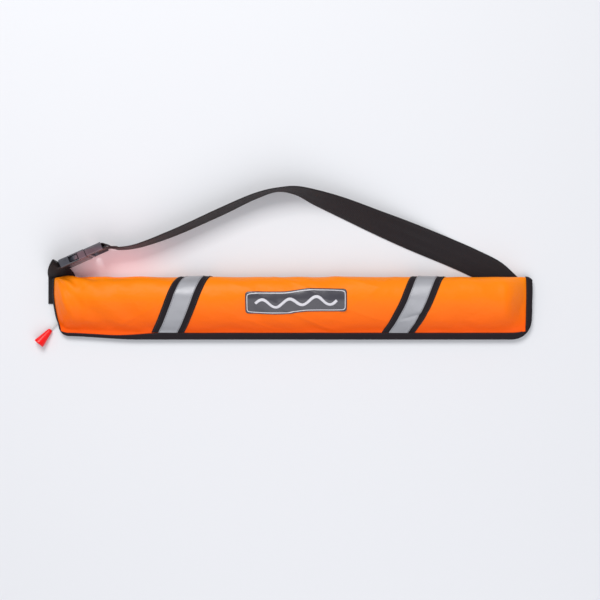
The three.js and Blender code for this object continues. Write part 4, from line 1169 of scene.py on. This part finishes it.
lanyard_stops = [
    (4.3, 22.5), (12, 16.4), (20, 9.2), (26.5, 5.5), (31, 4.8), (38, 4.8), (47, 4.3), (54, 3.4), (57, 3.0),
]
route = catmull([on_pull(*stop) for stop in lanyard_stops], 8)
tangent = unit(np.gradient(route, axis=0))
side = np.broadcast_to([-pull[1], pull[0], 0], route.shape)
upright = np.cross(tangent, side)
turn = np.arange(16) * math.pi / 8
travelled = along_length(route)
radius = 0.97 + 0.06 * np.cos(4 * turn[None, :] + travelled[:, None] * 1.6)
cord_points = route[:, None] + radius[..., None] * (
    np.cos(turn)[None, :, None] * side[:, None] + np.sin(turn)[None, :, None] * upright[:, None]
)
lanyard = carried("pull_cord", cord_points, np.arange(17) * math.pi / 8, travelled, lanyard_cord)
dress(lanyard, "pull_lanyard", "lanyard_cord")
print("lanyard", round(float(travelled[-1]), 1), "mm")

# %% Knob
knob_long, knob_base, knob_tip = 26.0, 15.5, 6.0
lean = math.atan2((knob_base - knob_tip) / 2, knob_long)
knob_axis = np.array([pull[0] * math.cos(lean), pull[1] * math.cos(lean), math.sin(lean)])
t = np.linspace(0, 1, 12)
knob_profile = np.vstack([
    [(0.0, 0.02), (0.0, 1.6)],
    np.stack([1.0 - np.cos(t * math.pi / 2), 2.0 + np.sin(t * math.pi / 2)], -1),
    np.stack([np.linspace(1.5, 22.5, 16), 3.05 + np.linspace(1.5, 22.5, 16) * 0.186], -1),
    [(23.2, 7.35), (23.8, 7.4), (24.4, 7.65)],
    np.stack([24.6 + 1.4 * np.sin(t * math.pi / 2), 5.9 + 1.75 * np.cos(t * math.pi / 2)], -1),
    [(25.9, 5.2), (25.2, 4.6), (24.6, 3.0), (24.5, 0.02)],
])
knob = spun("pull_cone", knob_profile, on_pull(57.3, 3 * math.cos(lean) + 0.05), knob_axis, 56, red_plastic)
dress(knob, "pull_knob", "red_plastic")

# %% [markdown]
# ## Folded bladder
# The bladder is coated film folded in layers round the inflator. The frame's solid gives its room, and the
# piece that shows is its merged copy, pushed inwards by thin folds that run along the pouch.
# %% Bladder
film = bpy.data.objects.new("bladder_film_folded", nodes["bladder"].data.copy())
bpy.context.scene.collection.objects.link(film)
work = bmesh.new()
work.from_mesh(film.data)
bmesh.ops.remove_doubles(work, verts=work.verts, dist=2e-6)
work.to_mesh(film.data)
work.free()
film.data.materials.clear()
film.data.materials.append(bladder_film)
remesh = film.modifiers.new("even", "REMESH")
remesh.mode = "VOXEL"
remesh.voxel_size = 0.0028
even = bpy.data.meshes.new_from_object(film.evaluated_get(bpy.context.evaluated_depsgraph_get()))
film.modifiers.clear()
film.data = even
film.data.materials.clear()
film.data.materials.append(bladder_film)
count = len(even.vertices)
points, facing = np.zeros(count * 3, np.float32), np.zeros(count * 3, np.float32)
even.vertices.foreach_get("co", points)
even.vertices.foreach_get("normal", facing)
points, facing = points.reshape(-1, 3), facing.reshape(-1, 3)
x, y, z = (points * 1000).T
layers = 0.5 + 0.5 * np.sin(z / 0.75 + 0.8 * np.sin(x / 31) + 0.5 * np.sin(y / 9))
folds = 0.5 + 0.5 * np.sin(x / 11 + 2 * np.sin(y / 13 + z / 17) + np.sin(x / 47))
push = 0.45 * layers * (1 - np.abs(facing[:, 2])) + 0.8 * folds * np.abs(facing[:, 2])
points = points - facing * push[:, None] * 0.001
even.vertices.foreach_set("co", points.astype(np.float32).ravel())
even.polygons.foreach_set("use_smooth", np.full(len(even.polygons), True))
even.update()
dress(film, "bladder", "bladder_film")
print("bladder points", count)

# %% [markdown]
# ## Floor and light
# A pale sweep of table, a large soft light from above the pouch's back, a wider and weaker one from its
# front, and a bright even world. A small warm light inside the belt's loop stands for what the orange cloth
# throws on the table there.
# %% Studio
floor_mesh = bpy.data.meshes.new("table")
floor_mesh.from_pydata([(-4, -4, 0), (4, -4, 0), (4, 4, 0), (-4, 4, 0)], [], [(0, 1, 2, 3)])
floor = bpy.data.objects.new("table", floor_mesh)
bpy.context.scene.collection.objects.link(floor)
paper = bpy.data.materials.new("table_paper")
paper.use_nodes = True
shade = next(n for n in paper.node_tree.nodes if n.type == "BSDF_PRINCIPLED")
shade.inputs["Base Color"].default_value = linear(226, 227, 230)
shade.inputs["Roughness"].default_value = 0.75
shade.inputs["Specular IOR Level"].default_value = 0.25
floor_mesh.materials.append(paper)


def soft_light(name, place_at, aim, size, power, colour=(1, 1, 1)):
    """A square area light that faces a point."""
    data = bpy.data.lights.new(name, "AREA")
    data.size = size
    data.energy = power
    data.color = colour
    made = bpy.data.objects.new(name, data)
    made.location = place_at
    from_to = np.array(aim, float) - np.array(place_at, float)
    pitch = math.atan2(math.hypot(from_to[0], from_to[1]), -from_to[2])
    made.rotation_euler = (pitch, 0, math.atan2(-from_to[0], from_to[1]))
    bpy.context.scene.collection.objects.link(made)
    return made


soft_light("key", (-0.5, 1.45, 2.0), (0, 0, 0), 1.1, 39, (1.0, 0.99, 0.98))
soft_light("fill", (0.4, -1.5, 1.8), (0, 0, 0), 2.4, 26, (0.98, 0.98, 1.0))
soft_light("warm_bounce", (-0.25, 0.024, 0.03), (-0.25, 0.05, 0), 0.1, 0.034, (1.0, 0.3, 0.33))
world = bpy.data.worlds.new("studio")
world.use_nodes = True
world.node_tree.nodes["Background"].inputs[0].default_value = (0.93, 0.95, 1.0, 1)
world.node_tree.nodes["Background"].inputs[1].default_value = 0.46
bpy.context.scene.world = world
bpy.context.scene.view_settings.view_transform = "Standard"
